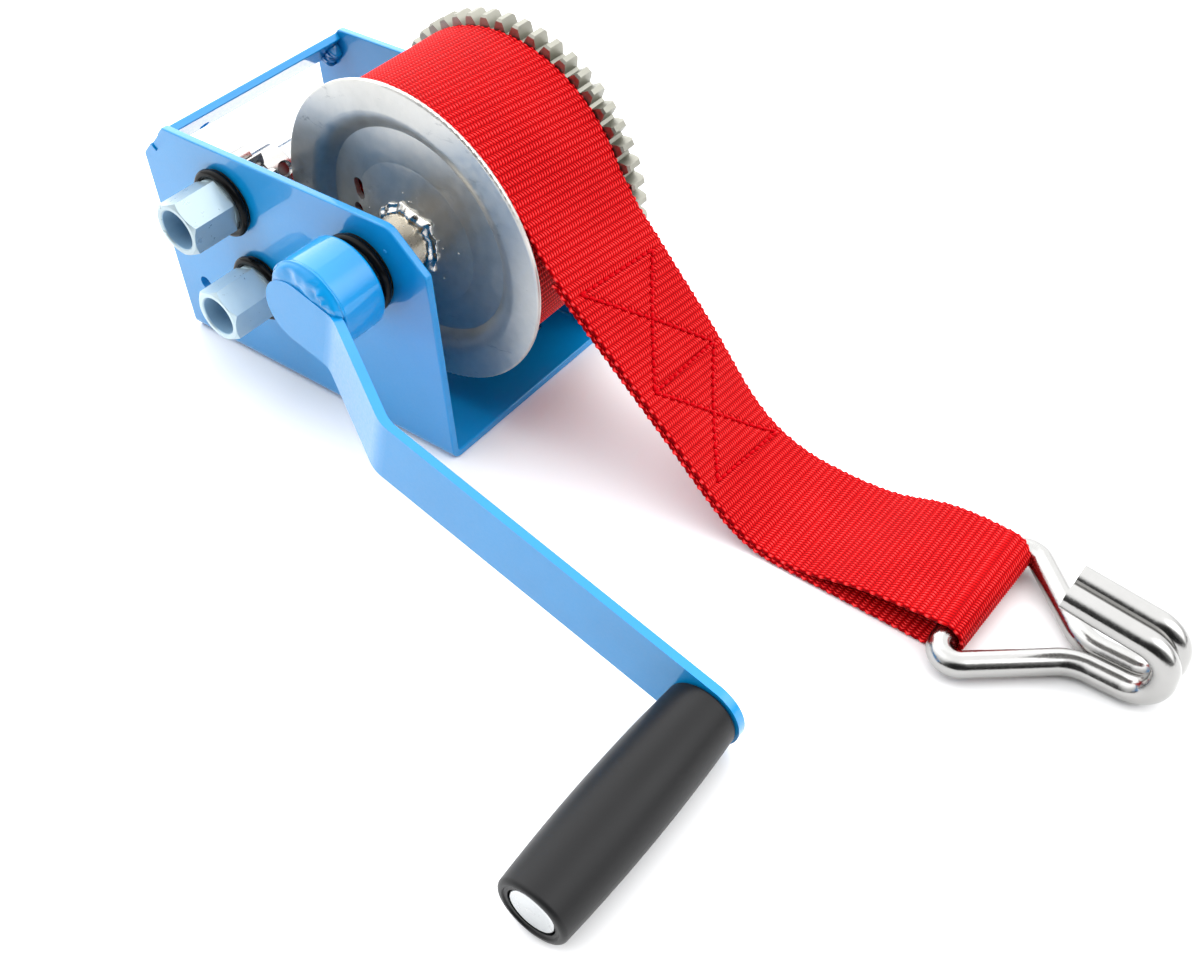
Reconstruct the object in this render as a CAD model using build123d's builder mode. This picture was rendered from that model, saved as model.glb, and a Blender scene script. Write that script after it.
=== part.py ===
from build123d import *
import math
import os

os.makedirs("parts", exist_ok=True)

# ---------------------------------------------------------------- dimensions
# millimetres; +X is the way the strap is pulled, -Y the crank side, +Z up.
# The origin is the centre of the four mounting holes on the base's underside.
frame_len = 140.0          # channel length along X
frame_w = 91.0             # over the two side plates
frame_h = 94.5             # side plate height
sheet = 3.0                # channel sheet thickness
bend_r = 4.0               # outer bend radius
y0 = -frame_w / 2          # outer face of the near side plate

mount_dx, mount_dy = 90.0, 56.0    # base hole pattern
mount_hole_r = 4.5

x_drum, z_drum = 40.0, 72.0        # drum axis
module, press = 2.2, math.radians(25.0)
backlash = 0.16                    # taken off each tooth's thickness
n_drum, n_lpin, n_lgear, n_upin = 50, 9, 21, 10
shift_pin = 0.2                    # profile shift of the two pinions
addendum, dedendum = 0.97, 1.25
drum_addendum = 0.68               # the drum gear has stub teeth
drum_tooth_deg = 60.7              # a drum gear tooth stands at this angle
upin_tooth_deg = 107.0             # an upper pinion tooth stands at this angle
lower_dir_deg = 207.87             # from drum axis to lower shaft
upper_dir_deg = 106.5              # from lower shaft to upper shaft

shaft_r = 6.8                      # plain part of the two input shafts
lower_end_r = 5.5                  # far end of the lower shaft
hex_af = 19.0                      # spigot and socket hexagon across flats
hex_deg = 20.75                    # one hexagon corner stands at this angle
bore_r = 7.4                       # open bore of the hex sleeves
sleeve_r = 9.9                     # round journal of the hex sleeves
hex_end = -22.7                    # outer end of the hex sleeves
drum_journal_r = 11.0              # drum shaft in the near plate
drum_shaft_r = 7.6                 # drum shaft inside the drum
fit = 0.05                         # running fit, radial
seat = 0.02                        # press fit seats, radial

flange_r = 57.0
flange_t = 2.0
flange_y = 22.5                    # outer face of the flange rim
dish_r, dish_y = 38.8, 26.6        # deepest ring of the pressed flange
step_r, step_y = 26.5, 25.4        # where its inner cone begins
face_y = 21.9                      # flange face at the tube
core_r = 10.4                      # drum core tube
roll_r = 51.1                      # wound webbing, outside
web_w = 50.0
web_t = 2.0
web_y = 26.8                       # near edge of the webbing on the drum
web_in_r, web_in_y = 47.6, 29.0    # inner turns keep clear of the dish
gear_y, gear_w = 77.3, 7.0         # drum gear

pawl_x, pawl_z = -4.9, 14.5        # pawl pivot
pawl_open_deg = 10.0               # pawl stands this far off the gear at rest

arm_deg = -17.55                   # crank arm direction
arm_t = 3.0
arm_w = 25.0
arm_off = -4.8                     # arm centre line below the drum axis
arm_in = -24.8                     # inner face at the socket
arm_out = -44.0                    # inner face at the grip
jog_a, jog_b = 14.0, 52.4          # the Z bend lies between these
arm_bend_in, arm_bend_out = 12.0, 15.0     # bend radii, inside and outside
arm_end = -4.3                     # centre of the arm's rounded end
socket_r = 17.0
socket_y = -6.9                    # plate-side end of the socket
grip_x, grip_z = 210.4, 13.1       # grip axis
grip_len = 78.6

bar_x, bar_z = 252.0, 6.9          # hook bar inside the strap loop
wire_r = 4.25


def yy(d):
    """Y of a point d behind the near plate's outer face."""
    return y0 + d


def side(d, x=0.0, z=0.0):
    """Plane facing the crank side at depth d: local axes are X and Z."""
    return Plane(origin=(x, yy(d), z), x_dir=(1, 0, 0), z_dir=(0, -1, 0))


def axial(x, z):
    """Plane through an axis along Y: local x is the radius, local y is Y."""
    return Plane(origin=(x, 0, z), x_dir=(1, 0, 0), z_dir=(0, 0, 1))


def y_axis(x, z):
    return Axis((x, 0, z), (0, 1, 0))


def inv(a):
    return math.tan(a) - a


def centre_distance(za, zb, shift):
    target = inv(press) + 2 * math.tan(press) * shift / (za + zb)
    a = press
    for _ in range(60):
        a -= (inv(a) - target) / math.tan(a) ** 2
    return module * (za + zb) / 2 * math.cos(press) / math.cos(a)


def polar(r, deg):
    return (r * math.cos(math.radians(deg)), r * math.sin(math.radians(deg)))


def turn(pts, cx, cz, deg):
    c, s = math.cos(math.radians(deg)), math.sin(math.radians(deg))
    return [(cx + (x - cx) * c - (z - cz) * s, cz + (x - cx) * s + (z - cz) * c) for x, z in pts]


def gear_outline(teeth, shift, tooth_deg, head=addendum):
    """Outline of a spur gear, one tooth centred at tooth_deg (inside BuildLine)."""
    rp = module * teeth / 2
    rb = rp * math.cos(press)
    ra = rp + module * (head + shift)
    rr = rp - module * (dedendum - shift)
    s = module * (math.pi / 2 + 2 * shift * math.tan(press)) - backlash
    r_in = max(rb, rr)

    def half(r):
        return math.degrees(s / (2 * rp) + inv(press) - inv(math.acos(min(1.0, rb / r))))

    radii = (r_in, 0.45 * r_in + 0.55 * ra, ra)
    pitch = 360.0 / teeth
    for i in range(teeth):
        c = tooth_deg + i * pitch
        up = [polar(r, c - half(r)) for r in radii]
        down = [polar(r, c + half(r)) for r in radii]
        foot_a, foot_b = polar(rr, c - half(r_in)), polar(rr, c + half(r_in))
        next_a = polar(rr, c + pitch - half(r_in))
        if rr < rb - 1e-6:
            Line(foot_a, up[0])
        ThreePointArc(*up)
        ThreePointArc(up[2], polar(ra, c), down[2])
        ThreePointArc(down[2], down[1], down[0])
        if rr < rb - 1e-6:
            Line(down[0], foot_b)
        ThreePointArc(foot_b, polar(rr, c + pitch / 2), next_a)


def mate_deg(teeth, tooth_deg, teeth_mate, line_deg):
    """Tooth angle of a mating gear that lies at line_deg from the first one."""
    pitch = 360.0 / teeth
    off = (tooth_deg - line_deg + pitch / 2) % pitch - pitch / 2
    gap = line_deg + 180.0 - off * teeth / teeth_mate
    return gap + 180.0 / teeth_mate


def soft_path(points, radii):
    """Lines and arcs through points, each inner corner rounded (inside BuildLine)."""
    last = Vector(*points[0])
    for i in range(1, len(points) - 1):
        p, a, b = Vector(*points[i]), Vector(*points[i - 1]), Vector(*points[i + 1])
        u, v = (a - p).normalized(), (b - p).normalized()
        half = math.acos(max(-1.0, min(1.0, u.dot(v)))) / 2
        t = radii[i - 1] / math.tan(half)
        mid = p + (u + v).normalized() * (radii[i - 1] / math.sin(half) - radii[i - 1])
        Line(last, p + u * t)
        ThreePointArc(p + u * t, mid, p + v * t)
        last = p + v * t
    Line(last, Vector(*points[-1]))


# shaft centres follow from the gear pairs
a_low = centre_distance(n_drum, n_lpin, shift_pin)
a_up = centre_distance(n_lgear, n_upin, shift_pin)
x_low, z_low = (c + d for c, d in zip((x_drum, z_drum), polar(a_low, lower_dir_deg)))
x_up, z_up = (c + d for c, d in zip((x_low, z_low), polar(a_up, upper_dir_deg)))
lpin_tooth_deg = mate_deg(n_drum, drum_tooth_deg, n_lpin, lower_dir_deg)
lgear_tooth_deg = mate_deg(n_upin, upin_tooth_deg, n_lgear, upper_dir_deg + 180.0)

# bush sizes: (x, z, shaft radius, bush outer radius, bush flange radius)
near_bushes = [("drum_bush_near", x_drum, z_drum, drum_journal_r, 13.8, 16.5),
               ("upper_bush_near", x_up, z_up, sleeve_r, 12.2, 14.0),
               ("lower_bush_near", x_low, z_low, sleeve_r, 12.2, 14.0)]
far_bushes = [("drum_bush_far", x_drum, z_drum, drum_shaft_r, 10.4, 13.0),
              ("upper_bush_far", x_up, z_up, shaft_r, 9.0, 11.5),
              ("lower_bush_far", x_low, z_low, lower_end_r, 8.0, 10.5)]

# ---------------------------------------------------------------- frame
hx, hy = frame_len / 2, frame_w / 2
cham = 14.6                        # 45 degree rear top corner
cham_x, cham_z = -hx + cham, frame_h
s2 = math.sqrt(0.5)


def on_chamfer(t, depth):
    """Point t along the rear top chamfer (from its top end), depth into the plate."""
    return (cham_x - t * s2 + depth * s2, cham_z - t * s2 - depth * s2)


tenon_a, tenon_b = 5.0, 13.2
recess = 0.35                      # the bar lies this far under the plate edge

with BuildPart() as frame:
    with BuildSketch(Plane(origin=(-hx, 0, 0), x_dir=(0, 1, 0), z_dir=(1, 0, 0))) as u_section:
        with BuildLine():
            Polyline((-hy, frame_h), (-hy, 0), (hy, 0), (hy, frame_h), (hy - sheet, frame_h),
                     (hy - sheet, sheet), (-hy + sheet, sheet), (-hy + sheet, frame_h), close=True)
        make_face()
        fillet([v for v in u_section.vertices() if abs(v.Y) < 0.01], bend_r)
        fillet([v for v in u_section.vertices() if abs(v.Y - sheet) < 0.01], bend_r - sheet)
    extrude(amount=frame_len)
    with BuildSketch(side(frame_w + 1)):
        with BuildLine():
            Polyline((cham_x + 1, cham_z + 1), (-hx - 1, frame_h - cham - 1), (-hx - 1, frame_h + 1), close=True)
        make_face()
        with BuildLine():
            Polyline((hx - 14.5, frame_h), (hx - 15.5, frame_h + 1), (hx + 1, frame_h + 1),
                     (hx + 1, frame_h - 15.5), (hx, frame_h - 14.2), close=True)
        make_face()
        with BuildLine():
            Polyline(on_chamfer(tenon_a, -1), on_chamfer(tenon_b, -1), on_chamfer(tenon_b, sheet + recess),
                     on_chamfer(tenon_a, sheet + recess), close=True)
        make_face()
    extrude(amount=frame_w + 2, mode=Mode.SUBTRACT)
    for ex, ez, er in ((hx - 14.5, frame_h, 6.0), (hx, frame_h - 14.2, 2.0)):
        fillet([e for e in frame.edges().filter_by(Axis.Y)
                if abs(e.center().X - ex) < 0.1 and abs(e.center().Z - ez) < 0.1], er)
    for _, bx, bz, _, br, _ in near_bushes:
        with BuildSketch(side(sheet + 1, bx, bz)):
            Circle(br)
        extrude(amount=sheet + 2, mode=Mode.SUBTRACT)
    for _, bx, bz, _, br, _ in far_bushes:
        with BuildSketch(side(frame_w + 1, bx, bz)):
            Circle(br)
        extrude(amount=sheet + 2, mode=Mode.SUBTRACT)
    with BuildSketch(side(frame_w + 1, pawl_x, pawl_z)):
        Circle(4.0)
    extrude(amount=sheet + 2, mode=Mode.SUBTRACT)
    with BuildSketch(side(frame_w + 1, -54.9, 26.9)):
        Circle(3.1)
    extrude(amount=frame_w + 2, mode=Mode.SUBTRACT)
    with BuildSketch(Plane.XY.offset(-1)):
        with GridLocations(mount_dx, mount_dy, 2, 2):
            Circle(mount_hole_r)
    extrude(amount=sheet + 2, mode=Mode.SUBTRACT)
    corners = [(-hx, frame_h - cham), (cham_x, frame_h), (hx - 14.5, frame_h), (hx, frame_h - 14.2)]
    fillet([e for e in frame.edges().filter_by(Axis.Y)
            if any(math.hypot(e.center().X - cx, e.center().Z - cz) < 0.1 for cx, cz in corners)], 2.0)
    plate_tops = [e for e in frame.edges().filter_by(Axis.X) if abs(e.center().Z - frame_h) < 0.01]
    fillet(plate_tops, 0.6)
frame.part.label = "frame_channel"
export_step(frame.part, "parts/frame_channel.step")

bar_a, bar_b = 1.4, 18.5           # the bar's two edges along the chamfer
with BuildPart() as tie_bar:
    with BuildSketch(side(frame_w - sheet)) as bar_section:
        with BuildLine():
            Polyline(on_chamfer(bar_a, recess), on_chamfer(bar_b, recess), on_chamfer(bar_b, sheet + recess),
                     on_chamfer(bar_a, sheet + recess), close=True)
        make_face()
        fillet(bar_section.vertices(), 0.5)
    extrude(amount=frame_w - 2 * sheet)
    with BuildSketch(side(frame_w - 0.6)):
        with BuildLine():
            Polyline(on_chamfer(tenon_a + 0.5, recess), on_chamfer(tenon_b - 0.5, recess),
                     on_chamfer(tenon_b - 0.5, sheet + recess - 0.05), on_chamfer(tenon_a + 0.5, sheet + recess - 0.05), close=True)
        make_face()
    extrude(amount=frame_w - 1.2)
    with BuildSketch(Plane(origin=(on_chamfer(15.5, 0)[0], yy(23.7), on_chamfer(15.5, 0)[1]),
                           x_dir=(0, 1, 0), z_dir=(-s2, 0, s2))):
        Circle(2.15)
    extrude(amount=8, both=True, mode=Mode.SUBTRACT)
tie_bar.part.label = "tie_bar"
export_step(tie_bar.part, "parts/tie_bar.step")

# fillet welds under the bar, one in each inner corner
weld_leg, weld_0 = 4.4, sheet + recess + 0.03
welds = []
for wall, sign in [(sheet + 0.03, 1), (frame_w - sheet - 0.03, -1)]:
    with BuildPart() as corner_weld:
        with BuildSketch(Plane(origin=(on_chamfer(4.6, 0)[0], yy(wall), on_chamfer(4.6, 0)[1]),
                               x_dir=(s2, 0, -s2), z_dir=(-s2, 0, -s2))):
            with BuildLine():
                c1 = Line((weld_0, 0), (weld_0 + weld_leg, 0))
                c2 = ThreePointArc(c1 @ 1, (weld_0 + 0.62 * weld_leg, -sign * 0.62 * weld_leg), (weld_0, -sign * weld_leg))
                Line(c2 @ 1, c1 @ 0)
            make_face()
        extrude(amount=10.6)
    welds.append(corner_weld.part)
tie_welds = Compound(label="tie_bar_welds", children=welds)
export_step(tie_welds, "parts/tie_bar_welds.step")

for name, bx, bz, sr, br, fr in near_bushes:
    with BuildPart() as bush:
        with BuildSketch(side(sheet + 1.5, bx, bz)):
            Circle(fr)
        extrude(amount=1.5)
        with BuildSketch(side(sheet, bx, bz)):
            Circle(br - seat)
        extrude(amount=sheet)
        with BuildSketch(side(sheet + 2, bx, bz)):
            Circle(sr + fit)
        extrude(amount=sheet + 3, mode=Mode.SUBTRACT)
    bush.part.label = name
    export_step(bush.part, "parts/" + name + ".step")

for name, bx, bz, sr, br, fr in far_bushes:
    with BuildPart() as bush:
        with BuildSketch(side(frame_w - sheet, bx, bz)):
            Circle(fr)
        extrude(amount=1.5)
        with BuildSketch(side(frame_w, bx, bz)):
            Circle(br - seat)
        extrude(amount=sheet)
        with BuildSketch(side(frame_w + 1, bx, bz)):
            Circle(sr + fit)
        extrude(amount=sheet + 3, mode=Mode.SUBTRACT)
    bush.part.label = name
    export_step(bush.part, "parts/" + name + ".step")

# ---------------------------------------------------------------- drum
shaft_end = frame_w + 4.2
groove_a, groove_b = frame_w + 0.9, frame_w + 2.2

with BuildPart() as drum_shaft:
    with BuildSketch(side(-4.5, x_drum, z_drum)):
        RegularPolygon(hex_af / 2, 6, major_radius=False, rotation=arm_deg + 30)
    extrude(amount=19.0)
    chamfer(drum_shaft.faces().sort_by(Axis.Y)[0].edges(), 0.8)
    with BuildSketch(side(sheet + 2.2, x_drum, z_drum)):
        Circle(drum_journal_r)
    extrude(amount=sheet + 2.2 + 4.5)
    with BuildSketch(side(shaft_end, x_drum, z_drum)):
        Circle(drum_shaft_r)
    extrude(amount=shaft_end)
    chamfer(drum_shaft.faces().sort_by(Axis.Y)[-1].edges(), 0.8)
    with BuildSketch(side(groove_b, x_drum, z_drum)):
        Circle(drum_shaft_r + 2)
        Circle(drum_shaft_r - 1.0, mode=Mode.SUBTRACT)
    extrude(amount=groove_b - groove_a, mode=Mode.SUBTRACT)
    with BuildSketch(Plane(origin=(x_drum, yy(9.0), z_drum), x_dir=(1, 0, 0), z_dir=(0, 0, 1))):
        Circle(2.0)
    extrude(amount=20, both=True, mode=Mode.SUBTRACT)
drum_shaft.part.label = "drum_shaft"
export_step(drum_shaft.part, "parts/drum_shaft.step")

with BuildPart() as drum_core:
    with BuildSketch(side(gear_y + gear_w, x_drum, z_drum)):
        Circle(core_r)
        Circle(drum_shaft_r + seat, mode=Mode.SUBTRACT)
    extrude(amount=gear_y + gear_w - 5.3)
    with BuildSketch(Plane(origin=(x_drum, yy(9.0), z_drum), x_dir=(1, 0, 0), z_dir=(0, 0, 1))):
        Circle(2.0)
    extrude(amount=20, both=True, mode=Mode.SUBTRACT)
drum_core.part.label = "drum_core"
export_step(drum_core.part, "parts/drum_core.step")

with BuildPart() as drum_pin:
    with BuildSketch(Plane(origin=(x_drum, yy(9.0), z_drum - core_r - 0.8), x_dir=(1, 0, 0), z_dir=(0, 0, 1))):
        Circle(2.0 - seat)
        Circle(1.2, mode=Mode.SUBTRACT)
    extrude(amount=2 * core_r + 1.6)
drum_pin.part.label = "drum_roll_pin"
export_step(drum_pin.part, "parts/drum_roll_pin.step")

f_out, f_in = flange_y, flange_y + flange_t
bend_out = flange_r - 10.5             # the rim is flat outside this radius
with BuildPart() as flange:
    with BuildSketch(axial(x_drum, z_drum)) as flange_section:
        with BuildLine():
            f1 = Polyline((core_r + seat, yy(face_y)), (step_r, yy(step_y)), (dish_r, yy(dish_y)))
            f2 = Bezier(f1 @ 1, ((dish_r + bend_out) / 2, yy(f_out)), (bend_out, yy(f_out)))
            f3 = Polyline(f2 @ 1, (flange_r, yy(f_out)), (flange_r, yy(f_in)), (bend_out + 0.5, yy(f_in)))
            f4 = Bezier(f3 @ 1, ((dish_r + bend_out + 1.1) / 2, yy(f_in)), (dish_r + 0.6, yy(dish_y + flange_t)))
            Polyline(f4 @ 1, (step_r, yy(step_y + flange_t)), (core_r + seat, yy(face_y + flange_t)), f1 @ 0)
        make_face()
        fillet([v for v in flange_section.vertices() if v.X > x_drum + flange_r - 0.01 or v.X > flange_r - 0.01], 0.7)
    revolve(axis=y_axis(x_drum, z_drum))
    with BuildSketch(side(40, x_drum, z_drum)):
        with Locations(polar(26.2, 159.0)):
            SlotOverall(8.2, 4.8, rotation=100)
        with Locations(polar(26.6, 179.0)):
            Circle(2.4)
    extrude(amount=30, mode=Mode.SUBTRACT)
flange.part.label = "drum_flange"
export_step(flange.part, "parts/drum_flange.step")

with BuildPart() as flange_weld:
    with BuildSketch(axial(x_drum, z_drum)):
        with BuildLine():
            toe_y = face_y + 3.0 * (step_y - face_y) / (step_r - core_r) - 0.06
            l1 = Line((core_r + 0.03, yy(face_y - 0.06)), (core_r + 0.03, yy(face_y - 3.0)))
            l2 = ThreePointArc(l1 @ 1, (core_r + 2.0, yy(face_y - 1.6)), (core_r + 3.0, yy(toe_y)))
            Line(l2 @ 1, l1 @ 0)
        make_face()
    revolve(axis=y_axis(x_drum, z_drum))
flange_weld.part.label = "flange_weld"
export_step(flange_weld.part, "parts/flange_weld.step")

with BuildPart() as drum_gear:
    with BuildSketch(side(gear_y + gear_w, x_drum, z_drum)):
        with BuildLine():
            gear_outline(n_drum, 0.0, drum_tooth_deg, drum_addendum)
        make_face()
        Circle(core_r + seat, mode=Mode.SUBTRACT)
        with PolarLocations(31.0, 6, start_angle=30):
            Circle(6.0, mode=Mode.SUBTRACT)
    extrude(amount=gear_w)
    drum_tip_r = module * (n_drum / 2 + drum_addendum)
    for d, s in [(gear_y, 1), (gear_y + gear_w, -1)]:
        with BuildSketch(axial(x_drum, z_drum)):
            with BuildLine():
                Polyline((drum_tip_r - 0.8, yy(d - s * 0.05)), (drum_tip_r + 1, yy(d - s * 0.05)),
                         (drum_tip_r + 1, yy(d + s * 1.75)), close=True)
            make_face()
        revolve(axis=y_axis(x_drum, z_drum), mode=Mode.SUBTRACT)
drum_gear.part.label = "drum_gear"
export_step(drum_gear.part, "parts/drum_gear.step")

anchor_deg = 235.0
ax, az = polar(core_r + 4.0, anchor_deg)
with BuildPart() as anchor:
    with BuildSketch(side(gear_y - 0.1, x_drum + ax, z_drum + az)):
        Circle(3.5)
    extrude(amount=gear_y - 0.1 - 26.0)
anchor.part.label = "strap_anchor_bar"
export_step(anchor.part, "parts/strap_anchor_bar.step")

with BuildPart() as roll:
    with BuildSketch(side(web_y + web_w, x_drum, z_drum)):
        Circle(roll_r)
        Circle(core_r + 0.3, mode=Mode.SUBTRACT)
        with Locations((ax, az)):
            Circle(4.0, mode=Mode.SUBTRACT)
    extrude(amount=web_w)
    with BuildSketch(side(web_in_y, x_drum, z_drum)):
        Circle(web_in_r)
    extrude(amount=web_in_y - web_y + 1, mode=Mode.SUBTRACT)
roll.part.label = "wound_webbing"
export_step(roll.part, "parts/wound_webbing.step")

with BuildPart() as drum_washer:
    with BuildSketch(side(frame_w - sheet - 1.7, x_drum, z_drum)):
        Circle(13.5)
        Circle(drum_shaft_r + 0.1, mode=Mode.SUBTRACT)
    extrude(amount=frame_w - sheet - 1.7 - (gear_y + gear_w) - 0.1)
drum_washer.part.label = "drum_thrust_washer"
export_step(drum_washer.part, "parts/drum_thrust_washer.step")

with BuildPart() as drum_seal:
    with BuildSketch(axial(x_drum, z_drum)):
        with Locations((drum_journal_r + 1.88, yy(-2.3))):
            Circle(1.83)
    revolve(axis=y_axis(x_drum, z_drum))
drum_seal.part.label = "drum_seal_ring"
export_step(drum_seal.part, "parts/drum_seal_ring.step")

# retaining rings outside the far plate: (name, x, z, groove radius, ring outer radius)
for name, rx, rz, rg, ro in [("drum_retaining_ring", x_drum, z_drum, drum_shaft_r - 1.0, 11.2),
                             ("upper_retaining_ring", x_up, z_up, shaft_r - 0.8, 9.8),
                             ("lower_retaining_ring", x_low, z_low, lower_end_r - 0.7, 8.2)]:
    with BuildPart() as ring:
        with BuildSketch(side(groove_b - 0.1, rx, rz)):
            Circle(ro)
            Circle(rg + seat, mode=Mode.SUBTRACT)
            with Locations((0, ro)):
                Rectangle(3.2, 2 * ro, mode=Mode.SUBTRACT)
        extrude(amount=groove_b - groove_a - 0.2)
    ring.part.label = name
    export_step(ring.part, "parts/" + name + ".step")

# ---------------------------------------------------------------- input shafts
journal_end = sheet + 2.2

for tag, sx, sz in [("upper", x_up, z_up), ("lower", x_low, z_low)]:
    with BuildPart() as sleeve:
        with BuildSketch(side(-4.2, sx, sz)):
            RegularPolygon(hex_af / 2, 6, major_radius=False, rotation=hex_deg)
        extrude(amount=-4.2 - hex_end)
        with BuildSketch(axial(sx, sz)):
            with BuildLine():
                Polyline((9.35, yy(hex_end) - 1), (9.35, yy(hex_end)), (11.3, yy(hex_end + 1.4)), (13, yy(hex_end + 1.4)),
                         (13, yy(hex_end) - 1), close=True)
            make_face()
        revolve(axis=y_axis(sx, sz), mode=Mode.SUBTRACT)
        with BuildSketch(side(journal_end, sx, sz)):
            Circle(sleeve_r)
        extrude(amount=journal_end + 4.2)
        with BuildSketch(side(-3.0, sx, sz)):
            Circle(bore_r)
        extrude(amount=21, mode=Mode.SUBTRACT)
        with BuildSketch(side(journal_end + 1, sx, sz)):
            Circle(shaft_r + seat)
        extrude(amount=journal_end + 6, mode=Mode.SUBTRACT)
        bore_edge = [e for e in sleeve.faces().sort_by(Axis.Y)[0].edges()
                     if e.geom_type == GeomType.CIRCLE and e.radius < bore_r + 0.1]
        chamfer(bore_edge, 0.5)
    sleeve.part.label = tag + "_hex_sleeve"
    export_step(sleeve.part, "parts/" + tag + "_hex_sleeve.step")

    with BuildPart() as seal:
        with BuildSketch(axial(sx, sz)):
            with Locations((sleeve_r + 1.63, yy(-2.1))):
                Circle(1.6)
        revolve(axis=y_axis(sx, sz))
    seal.part.label = tag + "_seal_ring"
    export_step(seal.part, "parts/" + tag + "_seal_ring.step")

with BuildPart() as upper_shaft:
    with BuildSketch(side(shaft_end, x_up, z_up)):
        Circle(shaft_r)
    extrude(amount=shaft_end + 3.0)
    chamfer(upper_shaft.faces().sort_by(Axis.Y)[-1].edges(), 0.8)
    with BuildSketch(side(groove_b, x_up, z_up)):
        Circle(shaft_r + 2)
        Circle(shaft_r - 0.8, mode=Mode.SUBTRACT)
    extrude(amount=groove_b - groove_a, mode=Mode.SUBTRACT)
upper_shaft.part.label = "upper_shaft"
export_step(upper_shaft.part, "parts/upper_shaft.step")

teeth_end, hub_end, screw_y, screw_deg = 16.1, 26.2, 22.3, 28.0
with BuildPart() as upper_pinion:
    with BuildSketch(side(teeth_end, x_up, z_up)):
        with BuildLine():
            gear_outline(n_upin, shift_pin, upin_tooth_deg)
        make_face()
    extrude(amount=8.3)
    with BuildSketch(side(hub_end, x_up, z_up)):
        Circle(9.4)
    extrude(amount=hub_end - teeth_end)
    chamfer(upper_pinion.faces().sort_by(Axis.Y)[-1].edges(), 0.5)
    with BuildSketch(side(hub_end + 1, x_up, z_up)):
        Circle(shaft_r + seat)
    extrude(amount=30, mode=Mode.SUBTRACT)
    sd = polar(1.0, screw_deg)
    with BuildSketch(Plane(origin=(x_up, yy(screw_y), z_up), x_dir=(0, 1, 0), z_dir=(sd[0], 0, sd[1]))):
        Circle(2.3)
    extrude(amount=12, mode=Mode.SUBTRACT)
    with Locations(Plane(origin=(x_up + 8.9 * sd[0], yy(screw_y), z_up + 8.9 * sd[1]), x_dir=(0, 1, 0), z_dir=(sd[0], 0, sd[1]))):
        Cone(2.3, 3.4, 1.6, mode=Mode.SUBTRACT)
upper_pinion.part.label = "upper_pinion"
export_step(upper_pinion.part, "parts/upper_pinion.step")

with BuildPart() as upper_screw:
    with BuildSketch(Plane(origin=(x_up + sd[0] * (shaft_r + 0.1), yy(screw_y), z_up + sd[1] * (shaft_r + 0.1)),
                           x_dir=(0, 1, 0), z_dir=(sd[0], 0, sd[1]))):
        Circle(2.3 - seat)
    extrude(amount=1.2)
upper_screw.part.label = "upper_set_screw"
export_step(upper_screw.part, "parts/upper_set_screw.step")

with BuildPart() as upper_spacer:
    with BuildSketch(side(teeth_end - 8.4, x_up, z_up)):
        Circle(9.4)
        Circle(shaft_r + seat, mode=Mode.SUBTRACT)
    extrude(amount=teeth_end - 8.4 - journal_end - 0.1)
upper_spacer.part.label = "upper_spacer"
export_step(upper_spacer.part, "parts/upper_spacer.step")

with BuildPart() as lower_shaft:
    with BuildSketch(side(76.5, x_low, z_low)):
        Circle(shaft_r)
    extrude(amount=79.5)
    with BuildSketch(side(shaft_end, x_low, z_low)):
        Circle(lower_end_r)
    extrude(amount=shaft_end - 76.5)
    chamfer(lower_shaft.faces().sort_by(Axis.Y)[-1].edges(), 0.8)
    with BuildSketch(side(groove_b, x_low, z_low)):
        Circle(lower_end_r + 2)
        Circle(lower_end_r - 0.7, mode=Mode.SUBTRACT)
    extrude(amount=groove_b - groove_a, mode=Mode.SUBTRACT)
lower_shaft.part.label = "lower_shaft"
export_step(lower_shaft.part, "parts/lower_shaft.step")

gear_in, gear_out, lower_screw_y = 15.5, 8.2, 18.6
with BuildPart() as lower_gear:
    with BuildSketch(side(gear_in, x_low, z_low)):
        with BuildLine():
            gear_outline(n_lgear, 0.0, lgear_tooth_deg)
        make_face()
    extrude(amount=gear_in - gear_out)
    with BuildSketch(side(21.6, x_low, z_low)):
        Circle(11.0)
    extrude(amount=21.6 - journal_end - 0.1)
    with BuildSketch(side(23, x_low, z_low)):
        Circle(shaft_r + seat)
    extrude(amount=24, mode=Mode.SUBTRACT)
    with BuildSketch(Plane(origin=(x_low, yy(lower_screw_y), z_low), x_dir=(0, 1, 0), z_dir=(-1, 0, 0))):
        Circle(1.8)
    extrude(amount=14, mode=Mode.SUBTRACT)
lower_gear.part.label = "lower_gear"
export_step(lower_gear.part, "parts/lower_gear.step")

with BuildPart() as lower_screw:
    with BuildSketch(Plane(origin=(x_low - shaft_r - 0.1, yy(lower_screw_y), z_low), x_dir=(0, 1, 0), z_dir=(-1, 0, 0))):
        Circle(1.8 - seat)
    extrude(amount=3.5)
lower_screw.part.label = "lower_set_screw"
export_step(lower_screw.part, "parts/lower_set_screw.step")

with BuildPart() as lower_pinion:
    with BuildSketch(side(84.6, x_low, z_low)):
        with BuildLine():
            gear_outline(n_lpin, shift_pin, lpin_tooth_deg)
        make_face()
        Circle(lower_end_r + seat, mode=Mode.SUBTRACT)
    extrude(amount=84.6 - 77.1)
lower_pinion.part.label = "lower_pinion"
export_step(lower_pinion.part, "parts/lower_pinion.step")

with BuildPart() as lower_washer:
    with BuildSketch(side(frame_w - sheet - 1.6, x_low, z_low)):
        Circle(9.0)
        Circle(lower_end_r + 0.1, mode=Mode.SUBTRACT)
    extrude(amount=frame_w - sheet - 1.6 - 84.7)
lower_washer.part.label = "lower_thrust_washer"
export_step(lower_washer.part, "parts/lower_thrust_washer.step")

# ---------------------------------------------------------------- pawl
pc = (x_drum, z_drum)
gap_deg = drum_tooth_deg + 190.8                    # the drum gear gap that the nose drops into
e = polar(1.0, gap_deg)


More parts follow.
